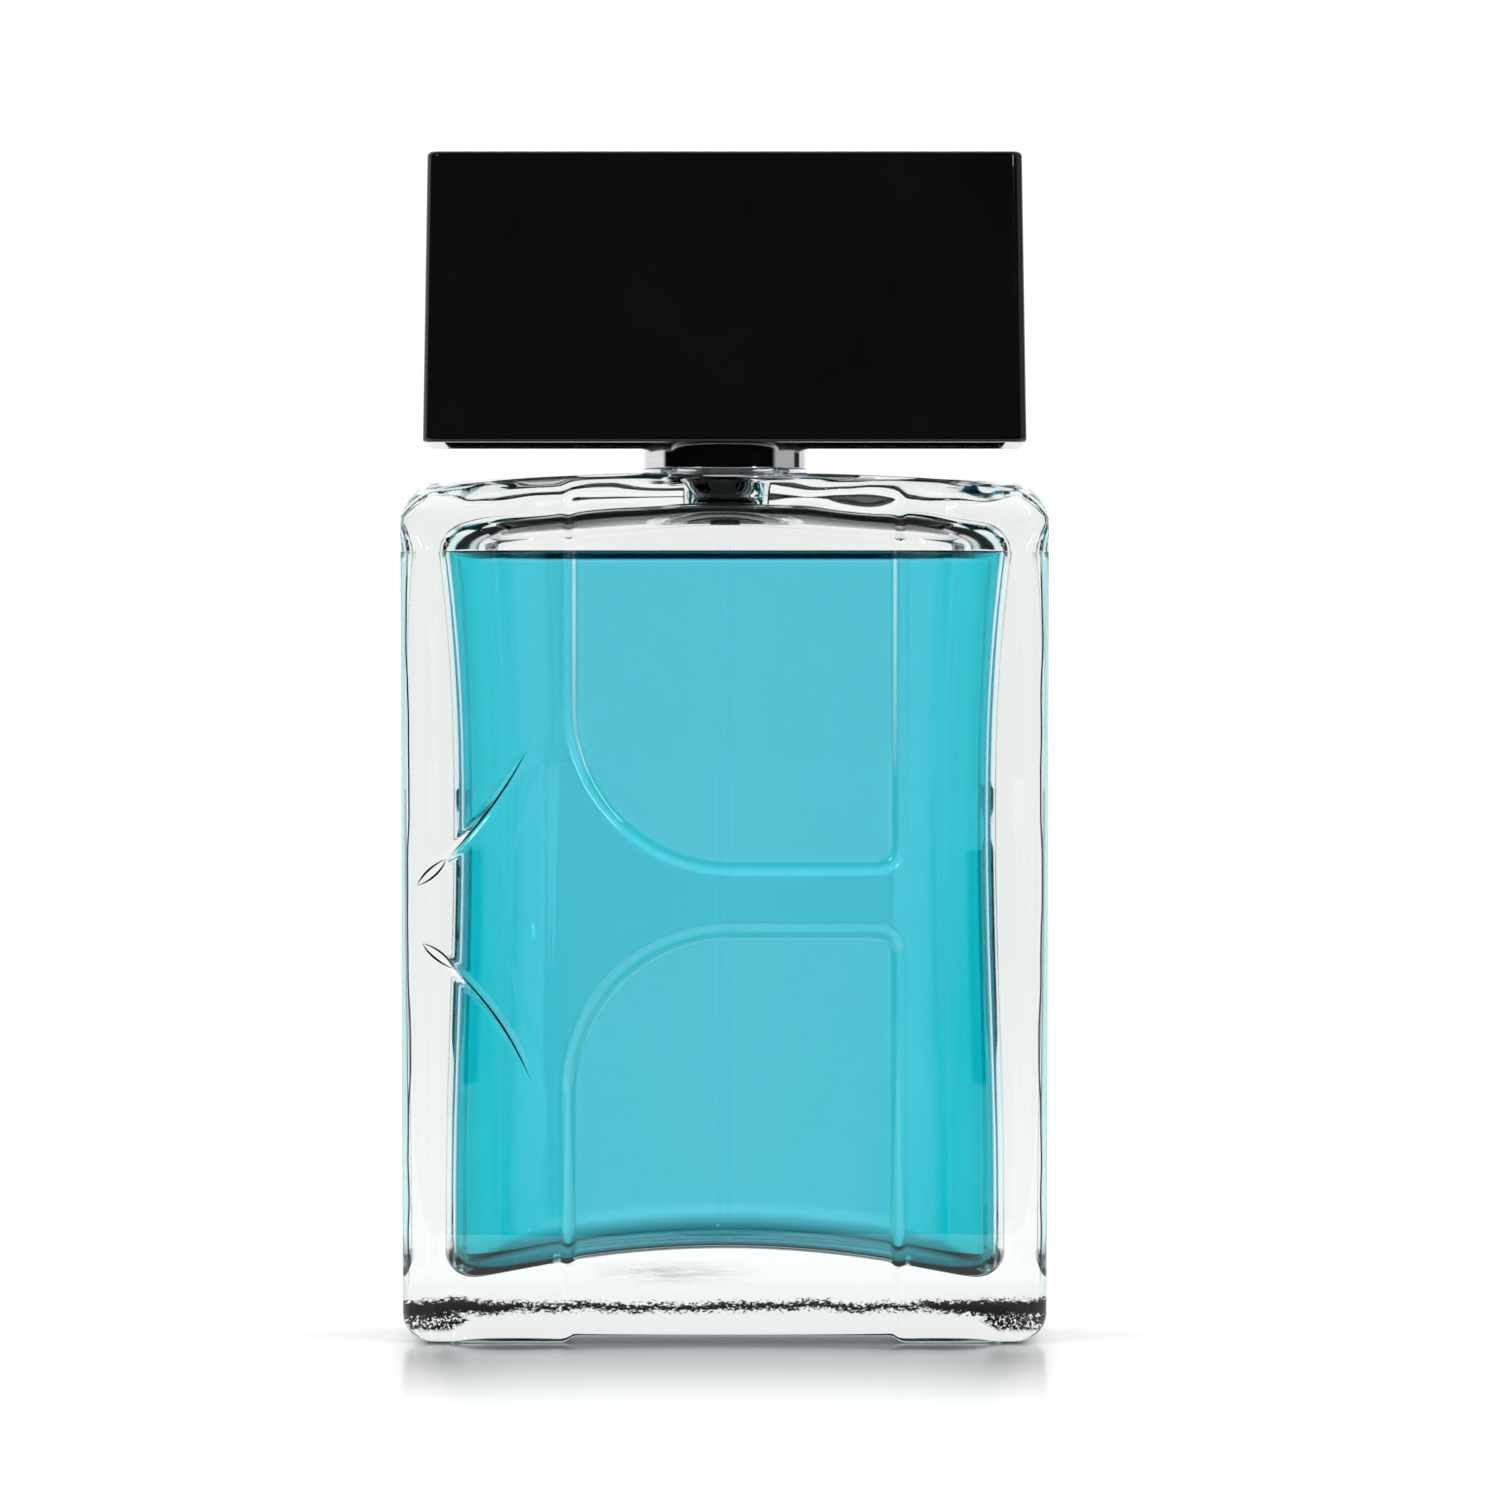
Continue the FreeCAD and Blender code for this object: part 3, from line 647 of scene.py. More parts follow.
AROUND = (0.04, 0.04, 1.0)
GLASS = glass_material()
LIQUID = liquid_material()
CLEAR_TUBE = clear_tube_material()
CAP_BLACK = gloss_black_material()
CHROME = metal_material("collar_chrome", (0.80, 0.81, 0.83), (0.86, 0.87, 0.89), 0.05, AROUND)
ALUMINIUM = metal_material("ferrule_aluminium", (0.72, 0.73, 0.74), (0.80, 0.81, 0.82), 0.28, AROUND)
SPRING = metal_material("spring_steel", (0.50, 0.51, 0.53), (0.62, 0.63, 0.65), 0.24, (1, 1, 1), 2600)
BALL = metal_material("ball_steel", (0.70, 0.71, 0.73), (0.74, 0.75, 0.77), 0.09, (1, 1, 1), 1600)
WHITE_PLASTIC = moulded_material("pump_plastic", (0.78, 0.79, 0.79), (0.84, 0.85, 0.84), 0.42)
BLACK_PLASTIC = moulded_material("liner_plastic", (0.030, 0.030, 0.032), (0.042, 0.042, 0.045), 0.38)
INSERT_BLACK = moulded_material("insert_black", (0.014, 0.014, 0.015), (0.022, 0.022, 0.024), 0.45)
RUBBER = moulded_material("seal_rubber", (0.020, 0.020, 0.021), (0.034, 0.034, 0.036), 0.62, 0.02)

CAD_MATERIALS = {
    "neck_gasket": RUBBER,
    "stem_seal": RUBBER,
    "pump_housing": INSERT_BLACK,
    "turret": WHITE_PLASTIC,
    "pump_stem": WHITE_PLASTIC,
    "piston_seat": WHITE_PLASTIC,
    "piston": WHITE_PLASTIC,
    "inlet_ball": BALL,
    "dip_tube": CLEAR_TUBE,
    "pump_ferrule": ALUMINIUM,
    "collar_liner": BLACK_PLASTIC,
    "actuator_body": BLACK_PLASTIC,
    "actuator_shell": CHROME,
    "nozzle_insert": BLACK_PLASTIC,
    "cap_insert": INSERT_BLACK,
}
for node, material in CAD_MATERIALS.items():
    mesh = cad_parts[node].data
    mesh.materials.clear()
    mesh.materials.append(material)


# ------------------------------------------------------------------ glass bottle: the outside

_, glass_high = node_box("glass_bottle")
_, liquid_high = node_box("liquid")
collar_low, collar_high = node_box("collar_shell")

HALF_WIDTH = glass_high[0]
HALF_DEPTH = glass_high[1]
NECK_TOP = glass_high[2]
SHOULDER = collar_low[2] - 1.3
DOME = 1.2
DOME_REACH = 31.6
PILLOW = 1.4
BASE_R = 3.4
SHOULDER_R = 4.0
SHOULDER_FACE_R = 2.2
SIDE_R = 3.6
FACE_R = 2.8
BASE_NARROWING = 0.3
CHANNEL = 0.7

PANEL_DEPTH = 0.9
RIM_WALL = 1.6
ROUND_CORNER = 18.6
TIGHT_CORNER = 3.1
UPPER_PANEL = (-17.8, 19.96, 51.1)
LOWER_PANEL = (-18.0, 19.85, 45.96)


def panel_inset(x, z, panel, way):
    """Distance inside a recessed panel's rim, negative outside. It runs off the face above (way 1) or
    below (way -1)."""
    left, right, shut = panel
    rise = (z - shut) * way
    if x < left + ROUND_CORNER and rise < ROUND_CORNER:
        return ROUND_CORNER - math.hypot(left + ROUND_CORNER - x, ROUND_CORNER - rise)
    if x > right - TIGHT_CORNER and rise < TIGHT_CORNER:
        return TIGHT_CORNER - math.hypot(x - right + TIGHT_CORNER, TIGHT_CORNER - rise)
    return min(x - left, right - x, rise)


def rim_inset(x, z):
    return max(panel_inset(x, z, UPPER_PANEL, 1), panel_inset(x, z, LOWER_PANEL, -1))


def flute_depth(x, z, start, end, centre, radius):
    """Depth of a sharp flute that tapers to both ends of its arc."""
    chord_x, chord_z = end[0] - start[0], end[1] - start[1]
    share = ((x - start[0]) * chord_x + (z - start[1]) * chord_z) / (chord_x ** 2 + chord_z ** 2)
    if not 0 < share < 1:
        return 0.0
    swell = math.sin(math.pi * share) ** 0.45
    away = abs(math.hypot(x - centre[0], z - centre[1]) - radius)
    return FLUTE_DEPTH * swell * max(0.0, 1 - away / (FLUTE_HALF * swell + 0.05))


def relief(x, z):
    """Depth of the moulding in the front face."""
    depth = PANEL_DEPTH * ease(rim_inset(x, z) / RIM_WALL)
    line_x, low, high = UPRIGHT_FLUTE
    upright = UPRIGHT_DEPTH * (1 - ease(abs(x - line_x) / UPRIGHT_HALF))
    upright *= ease((z - low) / 5) * ease((high - z) / 5)
    return depth + upright + max(flute_depth(x, z, *flute) for flute in FLUTE_CIRCLES)


def channel_share(x):
    """Across the base: 0 on the feet, 1 in the channel between them."""
    left, right, _ = LOWER_PANEL
    return ease(min(x - left, right - x) / RIM_WALL)


def dome(x, y):
    """Rise of the shoulder over its height near the ends: highest in the middle, lower to front and back."""
    return DOME * (1 - (x / DOME_REACH) ** 2) - PILLOW * abs(y / HALF_DEPTH) ** 2.4


def outer_point(ax, ay, az):
    """A point of the outside from its three lattice lines: rounded, moulded, tapered and domed."""
    (qx, tx), (qy, ty), (qz, tz) = ax, ay, az
    length = math.sqrt(tx * tx + ty * ty + tz * tz)
    nx, ny, nz = tx / length, ty / length, tz / length
    round_r = BASE_R
    z = qz + BASE_R * nz
    if tz > 0:
        sideways = nx * nx / max(nx * nx + ny * ny, 1e-9)
        round_r = mix(SHOULDER_FACE_R, SHOULDER_R, sideways)
        z = SHOULDER - round_r * (1 - nz)
    x = qx + SIDE_R * nx
    y = qy + FACE_R * ny
    mx, my, mz = nx / SIDE_R, ny / FACE_R, nz / round_r
    size = math.sqrt(mx * mx + my * my + mz * mz)
    mx, my, mz = mx / size, my / size, mz / size
    sunk = 0.0
    if my < 0:
        sunk += relief(x, z) * my * my
    if mz < 0:
        sunk += CHANNEL * channel_share(x) * mz * mz
    x -= sunk * mx
    y -= sunk * my
    z -= sunk * mz
    x *= 1 - BASE_NARROWING / HALF_WIDTH * (1 - z / SHOULDER)
    z += dome(x, y) * ease((z - (SHOULDER - 9)) / 9)
    return x, y, z


GLASS_X = rounded_axis(runs(
    -HALF_WIDTH + SIDE_R, (-19.0, 0.30), (-15.6, 0.28), (1.0, 0.50), (17.6, 1.5), (20.4, 0.28),
    (HALF_WIDTH - SIDE_R, 1.6)), 7)
GLASS_Y = rounded_axis(even(-HALF_DEPTH + FACE_R, HALF_DEPTH - FACE_R, 14), 6)
GLASS_Z = rounded_axis(runs(
    BASE_R, (25.0, 1.8), (43.4, 0.32), (46.6, 0.26), (50.8, 0.32), (53.8, 0.26), (70.0, 0.32),
    (SHOULDER - SHOULDER_R, 1.6)), 7)


# (radius, rise over the shoulder) where the neck leaves it, then (radius, height) up the neck and its bead.

NECK_ROOT = ((9.0, 0.0), (7.6, 0.0), (6.95, 0.12), (6.6, 0.45), (6.5, 1.0))
NECK = ((6.5, 99.2), (6.6, 99.4), (7.35, 99.75), (7.5, 99.95), (7.5, 103.1), (7.38, 103.4), (7.1, NECK_TOP))


def inner_block(lines, reach):
    """First and last lattice index whose flat place lies within the reach."""
    inside = [i for i, (place, turn) in enumerate(lines) if turn == 0 and abs(place) <= reach]
    return inside[0], inside[-1]


def glass_outside():
    """The block's outside with the neck drawn up out of the shoulder, and the ring on the neck's top."""
    block = Lattice(GLASS_X, GLASS_Y, GLASS_Z, outer_point)
    i0, i1 = inner_block(GLASS_X, 10.5)
    j0, j1 = inner_block(GLASS_Y, 10.5)
    top = len(GLASS_Z) - 1
    block.side(0, 0)
    block.side(0, len(GLASS_X) - 1)
    block.side(1, 0)
    block.side(1, len(GLASS_Y) - 1)
    block.side(2, 0)
    block.side(2, top, lambda a, b: i0 <= a < i1 and j0 <= b < j1)
    ring = [block.point(i, j, top) for i, j in loop_of_block(i0, i1, j0, j1)]
    starts = [block.points[v] for v in ring]
    for profile, over_shoulder in ((NECK_ROOT, True), (NECK, False)):
        for radius, height in profile:
            new = []
            for x, y, _ in starts:
                angle = math.atan2(y, x)
                px, py = radius * math.cos(angle), radius * math.sin(angle)
                base = SHOULDER + dome(px, py) if over_shoulder else 0.0
                block.points.append((px, py, base + height))
                new.append(len(block.points) - 1)
            bridge(block.faces, ring, new)
            ring = new
    return block.points, block.faces, ring


# ------------------------------------------------------------------ glass bottle: the inside

INSIDE_HALF_WIDTH = 30.0
INSIDE_HALF_DEPTH = liquid_high[1]
FLOOR_R = 4.0
ROOF_R = 3.2
BORE = 4.75
FILL = liquid_high[2]
FLOOR_CENTRE = 10.3
FLOOR_DROP = 3.9
FLOOR_REACH = 28.5
ROOF_CENTRE = 92.3
ROOF_SLOPE = 0.094
ROOF_CROWN = 5.0
FLARE_LOW = 0.8
FLARE_HIGH = 2.2


def waist(z):
    """Extra half width of the inside: it pulls in at mid height and flares to floor and shoulder."""
    return FLARE_LOW * (1 - ease((z - 16) / 40)) + FLARE_HIGH * limits((z - 60) / 32, 0.0, 1.0) ** 2


def floor_level(x):
    return FLOOR_CENTRE - FLOOR_DROP * (x / FLOOR_REACH) ** 2


def roof_level(x):
    return ROOF_CENTRE - ROOF_SLOPE * (math.hypot(x, ROOF_CROWN) - ROOF_CROWN)


def inside_columns():
    """(x, half depth, plan normal) lines across the inside: straight sides between round ends."""
    centre = INSIDE_HALF_WIDTH - INSIDE_HALF_DEPTH
    steps = 16
    left_end = []
    for i in range(steps + 1):
        angle = math.radians(90 * i / steps)
        left_end.append((-centre - INSIDE_HALF_DEPTH * math.cos(angle), INSIDE_HALF_DEPTH * math.sin(angle),
                         (-math.cos(angle), math.sin(angle))))
    right_end = [(-x, half, (-nx, ny)) for x, half, (nx, ny) in reversed(left_end)]
    beside_bore = runs(-centre, (-6.4, 1.7))[1:]
    over_bore = [BORE * math.sin(math.radians(a)) for a in range(-90, 91, 15)]
    straight = beside_bore + over_bore + [-x for x in reversed(beside_bore)]
    return left_end + [(x, INSIDE_HALF_DEPTH, (0.0, 1.0)) for x in straight] + right_end


def inside_rings():
    """(inset from the plan outline, share of the height, height offset) of each ring, floor to roof."""
    rings = []
    for i in range(11):
        angle = math.radians(90 - 9 * i)
        rings.append((FLOOR_R * (1 - math.cos(angle)), 0.0, FLOOR_R * (1 - math.sin(angle))))
    for share in runs(0.0, (1.0, 0.0165))[1:-1]:
        rings.append((0.0, share, mix(FLOOR_R, -ROOF_R, share)))
    for i in range(13):
        angle = math.radians(7.5 * i)
        rings.append((ROOF_R * (1 - math.cos(angle)), 1.0, ROOF_R * (math.sin(angle) - 1)))
    return rings


def inside_point(column, ring, grow):
    """(x, half depth, z) on the inside's wall; grow presses it outwards into the glass."""
    x, half, (nx, ny) = column
    inset, share, offset = ring
    x -= (inset - grow) * nx
    half -= (inset - grow) * ny
    z = mix(floor_level(x) - grow, roof_level(x) + grow, share) + offset
    x += math.copysign(waist(z) * (x / INSIDE_HALF_WIDTH) ** 2, x)
    return x, max(0.0, half), z


class Shell:
    """Points and faces that share corners by key."""

    def __init__(self, points, faces):
        self.points = points
        self.faces = faces
        self.index = {}

    def point(self, key, place):
        if key not in self.index:
            self.index[key] = len(self.points)
            self.points.append(place)
        return self.index[key]

    def face(self, corners):
        corners = list(dict.fromkeys(corners))
        if len(corners) > 2:
            self.faces.append(corners)

    def sheet(self, vertex, wide, tall):
        """Quads over a grid whose corners come from vertex(i, j)."""
        for i in wide:
            for j in tall:
                self.face([vertex(i, j), vertex(i + 1, j), vertex(i + 1, j + 1), vertex(i, j + 1)])


def bore_half(x):
    return math.sqrt(max(0.0, BORE * BORE - x * x))


def glass_inside(points, faces):
    """Adds the inside of the bottle with its bore; returns the ring at the neck's top."""
    shell = Shell(points, faces)
    columns = inside_columns()
    rings = inside_rings()
    last = len(columns) - 1
    across = 6
    rise = (0.0, 0.2, 0.4, 0.6, 0.8, 1.0)
    in_bore = [i for i, column in enumerate(columns) if abs(column[0]) <= BORE + 1e-6]
    tip = (0, last)

    def wall(side, i, j):
        x, half, z = inside_point(columns[i], rings[j], 0.0)
        return shell.point((0 if i in tip else side, i, j), (x, side * half, z))

    def level(side, end, i, k):
        """A point of the floor or roof, from the outline (k 0) to the middle line or the bore."""
        j = 0 if end < 0 else len(rings) - 1
        if k == 0 or i in tip:
            return wall(side, i, j)
        x, half, z = inside_point(columns[i], rings[j], 0.0)
        edge = bore_half(x) if end > 0 and i in in_bore else 0.0
        y = mix(half, edge, k / across)
        return shell.point(("level", 0 if y < 1e-6 else side, end, i, k), (x, side * y, z))

    def tube(side, i, k):
        base = level(side, 1, i, across)
        if k == 0:
            return base
        x, y, z = points[base]
        edge = i in (in_bore[0], in_bore[-1])
        return shell.point(("tube", 0 if edge else side, i, k), (x, y, mix(z, NECK_TOP, rise[k])))

    for side in (-1, 1):
        shell.sheet(lambda i, j: wall(side, i, j), range(last), range(len(rings) - 1))
        for end in (-1, 1):
            shell.sheet(lambda i, k: level(side, end, i, k), range(last), range(across))
        shell.sheet(lambda i, k: tube(side, i, k), range(in_bore[0], in_bore[-1]), range(len(rise) - 1))
    top = len(rise) - 1
    return [tube(-1, i, top) for i in in_bore] + [tube(1, i, top) for i in reversed(in_bore[1:-1])]


def build_glass():
    points, faces, outer_ring = glass_outside()
    inner_ring = glass_inside(points, faces)
    stitch(points, faces, outer_ring, inner_ring)
    return make_piece("glass_block", points, faces, GLASS, "bottle", ["glass_bottle"])


# ------------------------------------------------------------------ liquid

OVERLAP = 0.1
MENISCUS_RISE = 1.3
MENISCUS_REACH = 1.0


def build_liquid():
    """Fills the inside to its level, pressed a hair into the glass, with a meniscus up the walls."""
    shell = Shell([], [])
    columns = inside_columns()
    last = len(columns) - 1
    tip = (0, last)
    rings = [ring for ring in inside_rings()
             if mix(FLOOR_CENTRE, ROOF_CENTRE, ring[1]) + ring[2] < FILL - 2.5]
    contact = FILL + MENISCUS_RISE
    levels = [FILL - 1.2, FILL, contact - 0.4, contact - 0.05, contact]
    top = len(rings) + len(levels) - 1
    lines = 14

    def place(i, j):
        if j < len(rings):
            return inside_point(columns[i], rings[j], OVERLAP)
        z = levels[j - len(rings)]
        x, half, (nx, ny) = columns[i]
        x += OVERLAP * nx
        x += math.copysign(waist(z) * (x / INSIDE_HALF_WIDTH) ** 2, x)
        return x, half + OVERLAP * ny, z

    def wall(side, i, j):
        x, half, z = place(i, j)
        return shell.point((0 if i in tip else side, i, j), (x, side * half, z))

    def level(side, j, i, k):
        if k == 0 or i in tip:
            return wall(side, i, j)
        x, half, z = place(i, j)
        y = half * math.cos(math.radians(90 * k / lines)) if k < lines else 0.0
        if j == top:
            reach = INSIDE_HALF_DEPTH + OVERLAP
            out = max(0.0, abs(x) - (INSIDE_HALF_WIDTH - INSIDE_HALF_DEPTH + waist(FILL)))
            gap = max(0.0, reach - math.hypot(out, y))
            z = FILL + MENISCUS_RISE * math.exp(-gap / MENISCUS_REACH)
        return shell.point(("level", 0 if k == lines else side, j, i, k), (x, side * y, z))

    for side in (-1, 1):
        shell.sheet(lambda i, j: wall(side, i, j), range(last), range(top))
        shell.sheet(lambda i, k: level(side, 0, i, k), range(last), range(lines))
        shell.sheet(lambda i, k: level(side, top, i, k), range(last), range(lines))
    fill = make_piece("liquid_fill", shell.points, shell.faces, LIQUID, "bottle",
                      ["liquid"])
    rim = fill.data.attributes.new("rim", "FLOAT", "POINT")
    rim.data.foreach_set("value", [limits(rim_inset(x, z), -6.0, 6.0) for x, y, z in shell.points])


# ------------------------------------------------------------------ cap, collar and springs


def build_cap():
    """Block cap: drafted sides, rounded edges, hollow and open underneath."""
    low, high = node_box("cap_shell")
    draft = 0.5
    corner = 1.6
    top_edge = 0.55
    wall = 2.2
    roof = 2.4
    lip = 0.25
    tall = high[2] - low[2]

    def shell(inset, roof_drop, radius, edge, base):
        def place(ax, ay, az):
            (qx, tx), (qy, ty), (qz, tz) = ax, ay, az
            turn = math.atan2(tz, max(abs(tx), abs(ty), 1e-9))
            out = max(math.hypot(tx, ty), 1e-9)
            reach = radius - edge + edge * math.cos(turn)
            x = qx + tx / out * reach
            y = qy + ty / out * reach
            z = qz + edge * math.sin(turn)
            share = (z - low[2]) / tall
            return x * (1 - draft / high[0] * share), y * (1 - draft / high[1] * share), z
        half_x = high[0] - inset - radius
        half_y = high[1] - inset - radius
        xs = rounded_axis(even(-half_x, half_x, 22), 5)
        ys = rounded_axis(even(-half_y, half_y, 9), 5)
        straight = high[2] - roof_drop - edge
        zs = [(z, 0.0) for z in runs(base, (base + 0.2, 0.2), (straight - 1.3, 2.5), (straight, 1.3))]
        zs += [(zs[-1][0], math.tan(math.radians(45 * (i + 1) / 5))) for i in range(5)]
        block = Lattice(xs, ys, zs, place)
        block.side(0, 0)
        block.side(0, len(xs) - 1)
        block.side(1, 0)
        block.side(1, len(ys) - 1)
        block.side(2, len(zs) - 1)
        rim = [block.point(i, j, 0) for i, j in loop_of_block(0, len(xs) - 1, 0, len(ys) - 1)]
        return block, rim

    outside, rim = shell(0.0, 0.0, corner, top_edge, low[2] + lip)
    inside, inner_rim = shell(wall, roof, 0.8, 0.3, low[2] + lip)
    points = list(outside.points)
    faces = list(outside.faces)
    shift = len(points)
    points += inside.points
    faces += [[v + shift for v in face] for face in inside.faces]
    inner_rim = [v + shift for v in inner_rim]
    rings = [rim]
    for toward, drop in ((0.03, 0.16), (0.11, lip), (0.89, lip), (0.97, 0.16)):
        new = []
        for a, b in zip(rim, inner_rim):
            ax, ay, _ = points[a]
            bx, by, _ = points[b]
            points.append((mix(ax, bx, toward), mix(ay, by, toward), low[2] + lip - drop))
            new.append(len(points) - 1)
        rings.append(new)
    rings.append(inner_rim)
    for a, b in zip(rings, rings[1:]):
        bridge(faces, a, b)
    return make_piece("block_cap", points, faces, CAP_BLACK, "cap", ["cap_shell"])


def build_collar():
    """Bright collar: rolled lower lip, rounded shoulder and a turned-in mouth."""
    low, high = collar_low, collar_high
    radius = high[0]
    wall = 0.6
    mouth = 5.3
    edge = 0.6
    profile = arc_points(radius - 0.2, low[2] + 0.2, 0.2, -90, 0, 4)
    profile += [(radius, low[2] + 0.24), (radius, low[2] + 0.4)]
    profile += [(radius, z) for z in even(low[2] + 0.4, high[2] - edge, 12)[1:-1]]
    profile += arc_points(radius - edge, high[2] - edge, edge, 0, 90, 8)
    profile += arc_points(mouth + 0.3, high[2] - 0.3, 0.3, 90, 270, 8)
    profile += [(radius - wall - 0.3, high[2] - wall), (radius - wall, high[2] - wall - 0.3)]
    profile += [(radius - wall, low[2] + 0.1)]
    points, faces = turned_mesh(profile, 128)
    return make_piece("bright_collar", points, faces, CHROME, "bottle", ["collar_shell"])


def build_spring(name, node, wire, turns, body):
    low, high = node_box(node)
    points, faces = coil(wire, high[0] - wire / 2, turns, low[2], high[2])
    return make_piece(name, points, faces, SPRING, body, [node])


def build_springs():
    main = build_spring("return_spring", "main_spring", 0.45, 4.25, "bottle")
    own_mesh(main)
    valve = build_spring("valve_spring", "secondary_spring", 0.28, 2.25, "stem")
    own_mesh(valve)


build_glass()
build_liquid()
build_cap()
build_collar()
build_springs()


# ------------------------------------------------------------------ studio

# Brightness of the white room. The angles are in degrees: round from the front for its mirror image, and
# round from the back and up from level for what is seen through clear things.

MIRROR_ROOM = (
    (-180, 1.1), (-150, 1.1), (-140, 0.85), (-96, 0.85), (-90, 0.001), (70, 0.001), (76, 0.44), (110, 0.44),
    (114, 0.02), (124, 0.02), (128, 0.75), (140, 0.75), (150, 1.1), (180, 1.1),
)
BRIGHT_WALL = ((0, 1.0), (48, 1.0), (56, 0.02), (88, 0.02), (96, 0.75))
BRIGHT_LIFT = ((-90, 0.1), (-30, 1.0), (40, 1.0), (55, 0.03))
DOORWAY_LIFT = (5.73, 9.82)
DOORWAY_TURN = (164.05, 170.08)


def studio_world():
    """A white room whose mirror image has its dark side in front and light panels behind and beside.

    Seen through clear things, its back wall is bright and its front half a little dimmer, with a dark gap
    between them on either side and a low, dark doorway in the middle of the front.
    """
    world = bpy.data.worlds.new("studio")
    bpy.context.scene.world = world
    world.use_nodes = True
    n = Nodes(world.node_tree)
    n.tree.nodes.clear()

    def background(colour=None, strength=1.0):
        node = n.add("ShaderNodeBackground")
        node.inputs["Color"].default_value = (1, 1, 1, 1)
        node.inputs["Strength"].default_value = strength
        if colour is not None:
            n.link(colour, node.inputs["Color"])
        return node.outputs["Background"]

    def choose(share, first, second):
        node = n.add("ShaderNodeMixShader")
        n.link(share, node.inputs["Fac"])
        n.link(first, node.inputs[1])
        n.link(second, node.inputs[2])
        return node.outputs["Shader"]

    x, y, z = n.split(n.add("ShaderNodeTexCoord").outputs["Generated"])
    lift = n.math("ARCSINE", z)
    from_front = n.math("ARCTAN2", x, n.math("MULTIPLY", y, -1.0))
    from_back = n.math("ABSOLUTE", n.math("ARCTAN2", x, y))

    mirror = n.by_angle(from_front, -180, 180, MIRROR_ROOM)
    wall = n.by_angle(from_back, 0, 180, BRIGHT_WALL)
    sky = n.by_angle(lift, -90, 90, BRIGHT_LIFT)
    above = n.rise(n.math("ABSOLUTE", lift), *[math.radians(turn) for turn in DOORWAY_LIFT])
    beside = n.fall(from_back, *[math.radians(turn) for turn in DOORWAY_TURN])
    through = n.math("MULTIPLY", n.math("MULTIPLY", wall, sky), n.math("MAXIMUM", above, beside))

    rays = n.add("ShaderNodeLightPath")
    seen = choose(rays.outputs["Is Glossy Ray"], background(strength=1.08), background(mirror))
    seen = choose(rays.outputs["Is Transmission Ray"], seen, background(through))
    output = n.add("ShaderNodeOutputWorld")
    n.link(seen, output.inputs["Surface"])


def floor_material():
    """White table, glossy beside the bottle, with painted shade before and behind it."""
    m = Surface("floor_white")
    m.value("Roughness", 0.2)
    m.value("IOR", 1.45)
    x, y, _ = m.axes()
    wide = m.math("ABSOLUTE", x)
    deep = m.math("ABSOLUTE", y)
    beyond = m.math("MAXIMUM", m.math("SUBTRACT", deep, 15), m.math("SUBTRACT", wide, 34))
    m.drive("Specular IOR Level", m.math("POWER", 10, m.remap(beyond, -0.3, -5.6, 8, 170)))
    # Painted shade: the table's colour darkens before and behind the bottle.
    near = m.math("POWER", m.fall(deep, 12, 140), 2)
    shade = m.math("MULTIPLY", m.fall(wide, 30, 37), near)
    m.drive("Base Color", m.blend(shade, m.colour((0.95, 0.95, 0.95)), m.colour((0.13, 0.138, 0.155))))
    return m.material


def card_material(name, level):
    m = Surface(name)
    m.value("Base Color", (level, level, level, 1))
    m.value("Roughness", 1.0)
    m.value("Specular IOR Level", 0.0)
    return m.material


def stage_plane(name, corners, material, unseen_by=(), height=0.0):
    """A flat stage piece from its (x, y) corners in metres, left out of some kinds of ray."""
    mesh = bpy.data.meshes.new(name)
    mesh.from_pydata([(x, y, height) for x, y in corners], [], [tuple(range(len(corners)))])
    plane = bpy.data.objects.new(name, mesh)
    plane.data.materials.append(material)
    bpy.context.scene.collection.objects.link(plane)
    for kind in unseen_by:
        setattr(plane, "visible_" + kind, False)


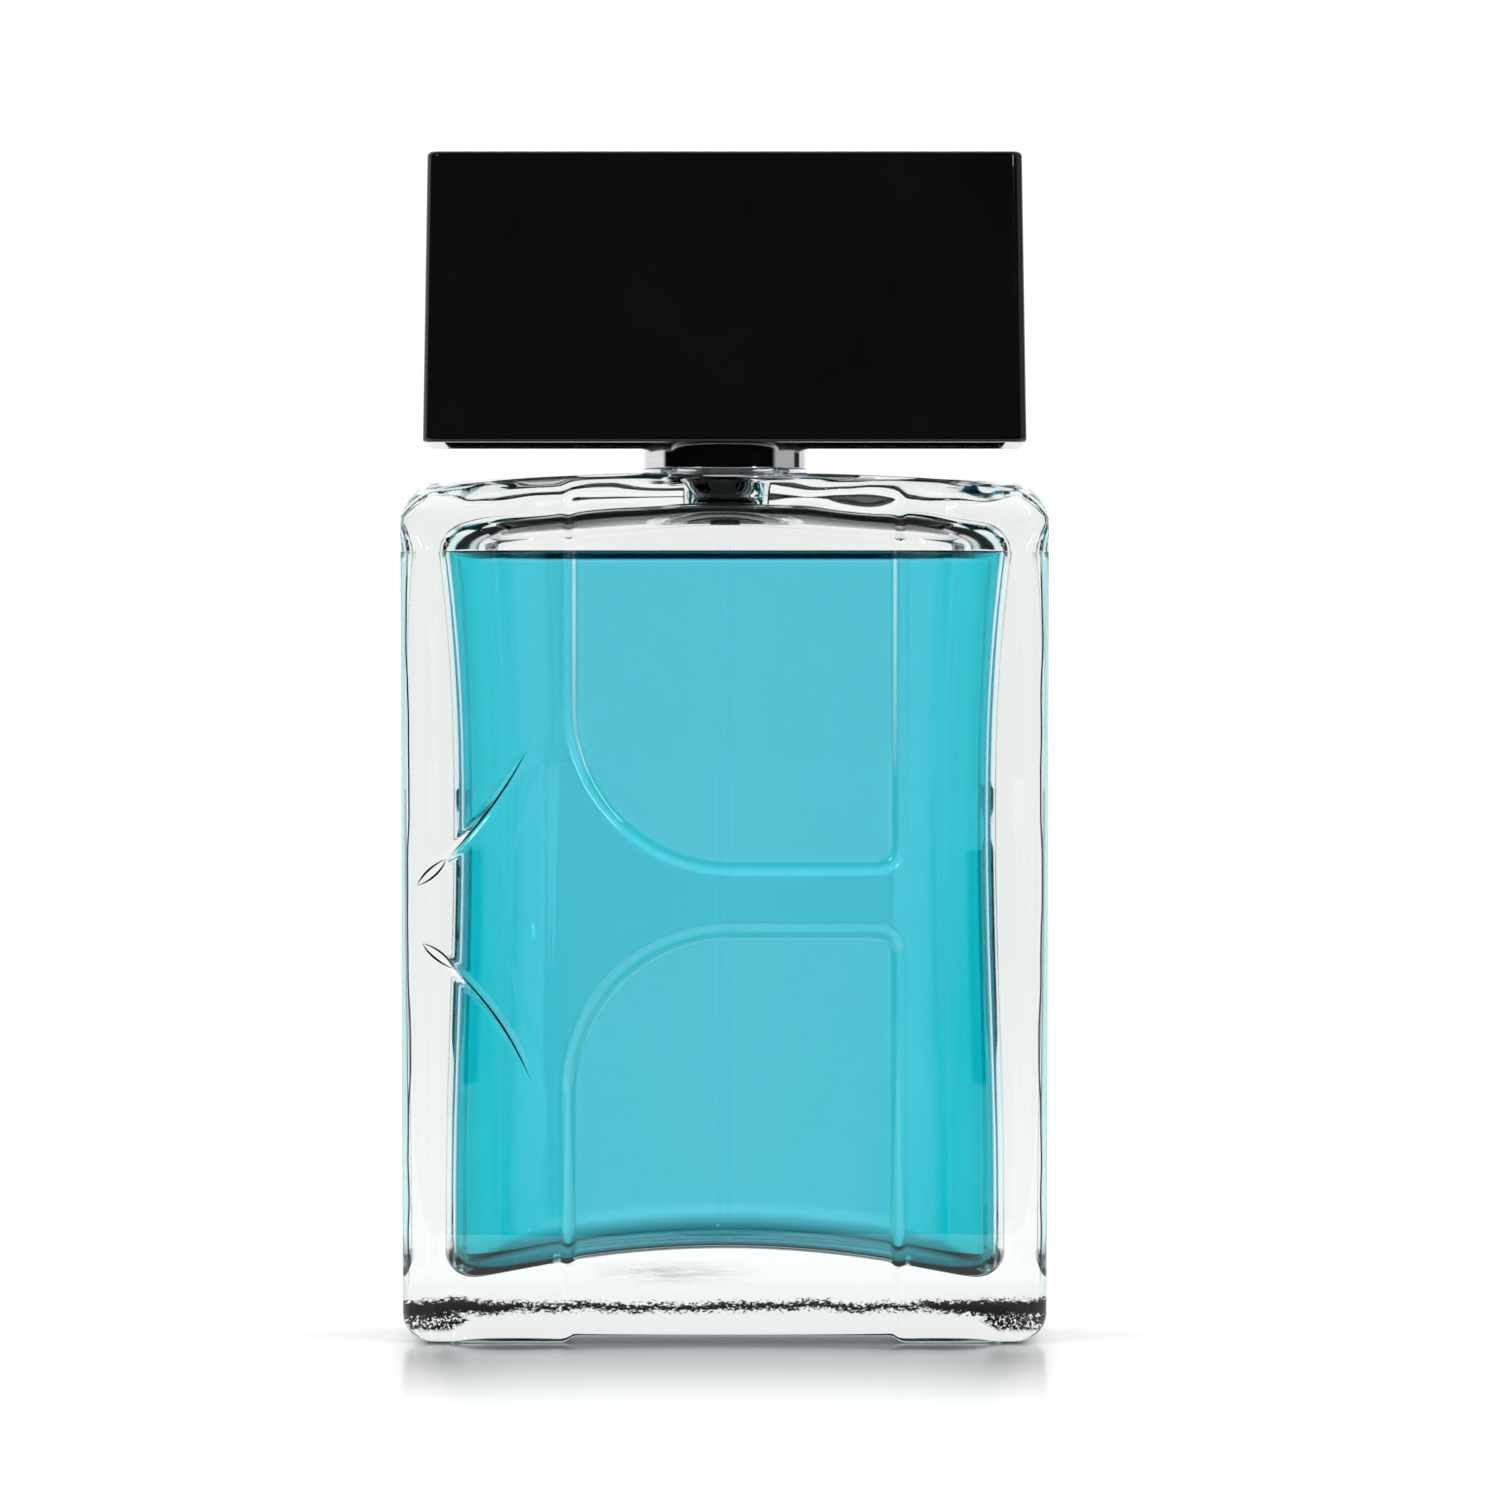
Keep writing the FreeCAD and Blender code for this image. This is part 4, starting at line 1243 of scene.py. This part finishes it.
def floor():
    """A white table in six parts. Nothing mirrors its three front parts, and the middle one of them isn't
    seen through glass either."""
    white = floor_material()
    edge, near, far, back, front = 0.15, -0.26, 40, 6, 3
    stage_plane("floor", [(-edge, near), (edge, near), (back, far), (-back, far)], white)
    stage_plane("floor_strip", [(-front, -far), (front, -far), (edge, near), (-edge, near)], white,
                ("transmission", "glossy"))
    for name, side in (("left", -1), ("right", 1)):
        stage_plane("floor_" + name, [(side * edge, near), (side * back, far), (side * far, far),
                                      (side * far, near)], white)
        stage_plane("floor_front_" + name, [(side * edge, near), (side * front, -far), (side * far, -far),
                                            (side * far, near)], white, ("glossy",))


def under_card():
    """A dark card under the base, seen only through the glass, where it stands in for the shade under the
    bottle.
    """
    dark = card_material("shade_card", 0.004)
    wide, front, back = 0.037, -0.02, 0.03
    stage_plane("under_card", [(-wide, front), (wide, front), (wide, back), (-wide, back)], dark,
                ("camera", "diffuse", "glossy", "shadow", "volume_scatter"), height=2e-5)


def soft_light(name, place, wide, tall, energy):
    """A rectangular lamp aimed at the bottle."""
    light = bpy.data.lights.new(name, "AREA")
    light.shape = "RECTANGLE"
    light.size = wide
    light.size_y = tall
    light.energy = energy
    lamp = bpy.data.objects.new(name, light)
    lamp.location = place
    aim = Vector((0, 0, 0.06)) - Vector(place)
    lamp.rotation_euler = aim.to_track_quat("-Z", "Y").to_euler()
    bpy.context.scene.collection.objects.link(lamp)


def camera():
    """Level with the middle of the bottle, a little right of its axis, with a long lens."""
    distance = 1.1
    frame_width = 0.1665
    sensor_mm = 36
    data = bpy.data.cameras.new("camera")
    data.sensor_width = sensor_mm
    data.lens = sensor_mm * distance / frame_width
    data.clip_start = 0.05
    data.clip_end = 20
    view = bpy.data.objects.new("camera", data)
    view.location = (0.002775, -distance, 0.065)
    view.rotation_euler = (math.radians(90), 0, 0)
    bpy.context.scene.collection.objects.link(view)
    bpy.context.scene.camera = view


studio_world()
floor()
under_card()
soft_light("overhead", (-0.3, 0.1, 1.5), 1.2, 1.2, 0.9)
soft_light("front_right", (0.95, -1.05, 0.62), 0.12, 0.70, 3.4)
soft_light("front_left", (-0.85, -1.10, 0.80), 0.20, 0.30, 2.2)
camera()

scene = bpy.context.scene
scene.view_settings.view_transform = "Standard"
scene.cycles.max_bounces = 32
scene.cycles.transmission_bounces = 32
scene.cycles.glossy_bounces = 16
scene.cycles.diffuse_bounces = 4
scene.cycles.transparent_max_bounces = 16
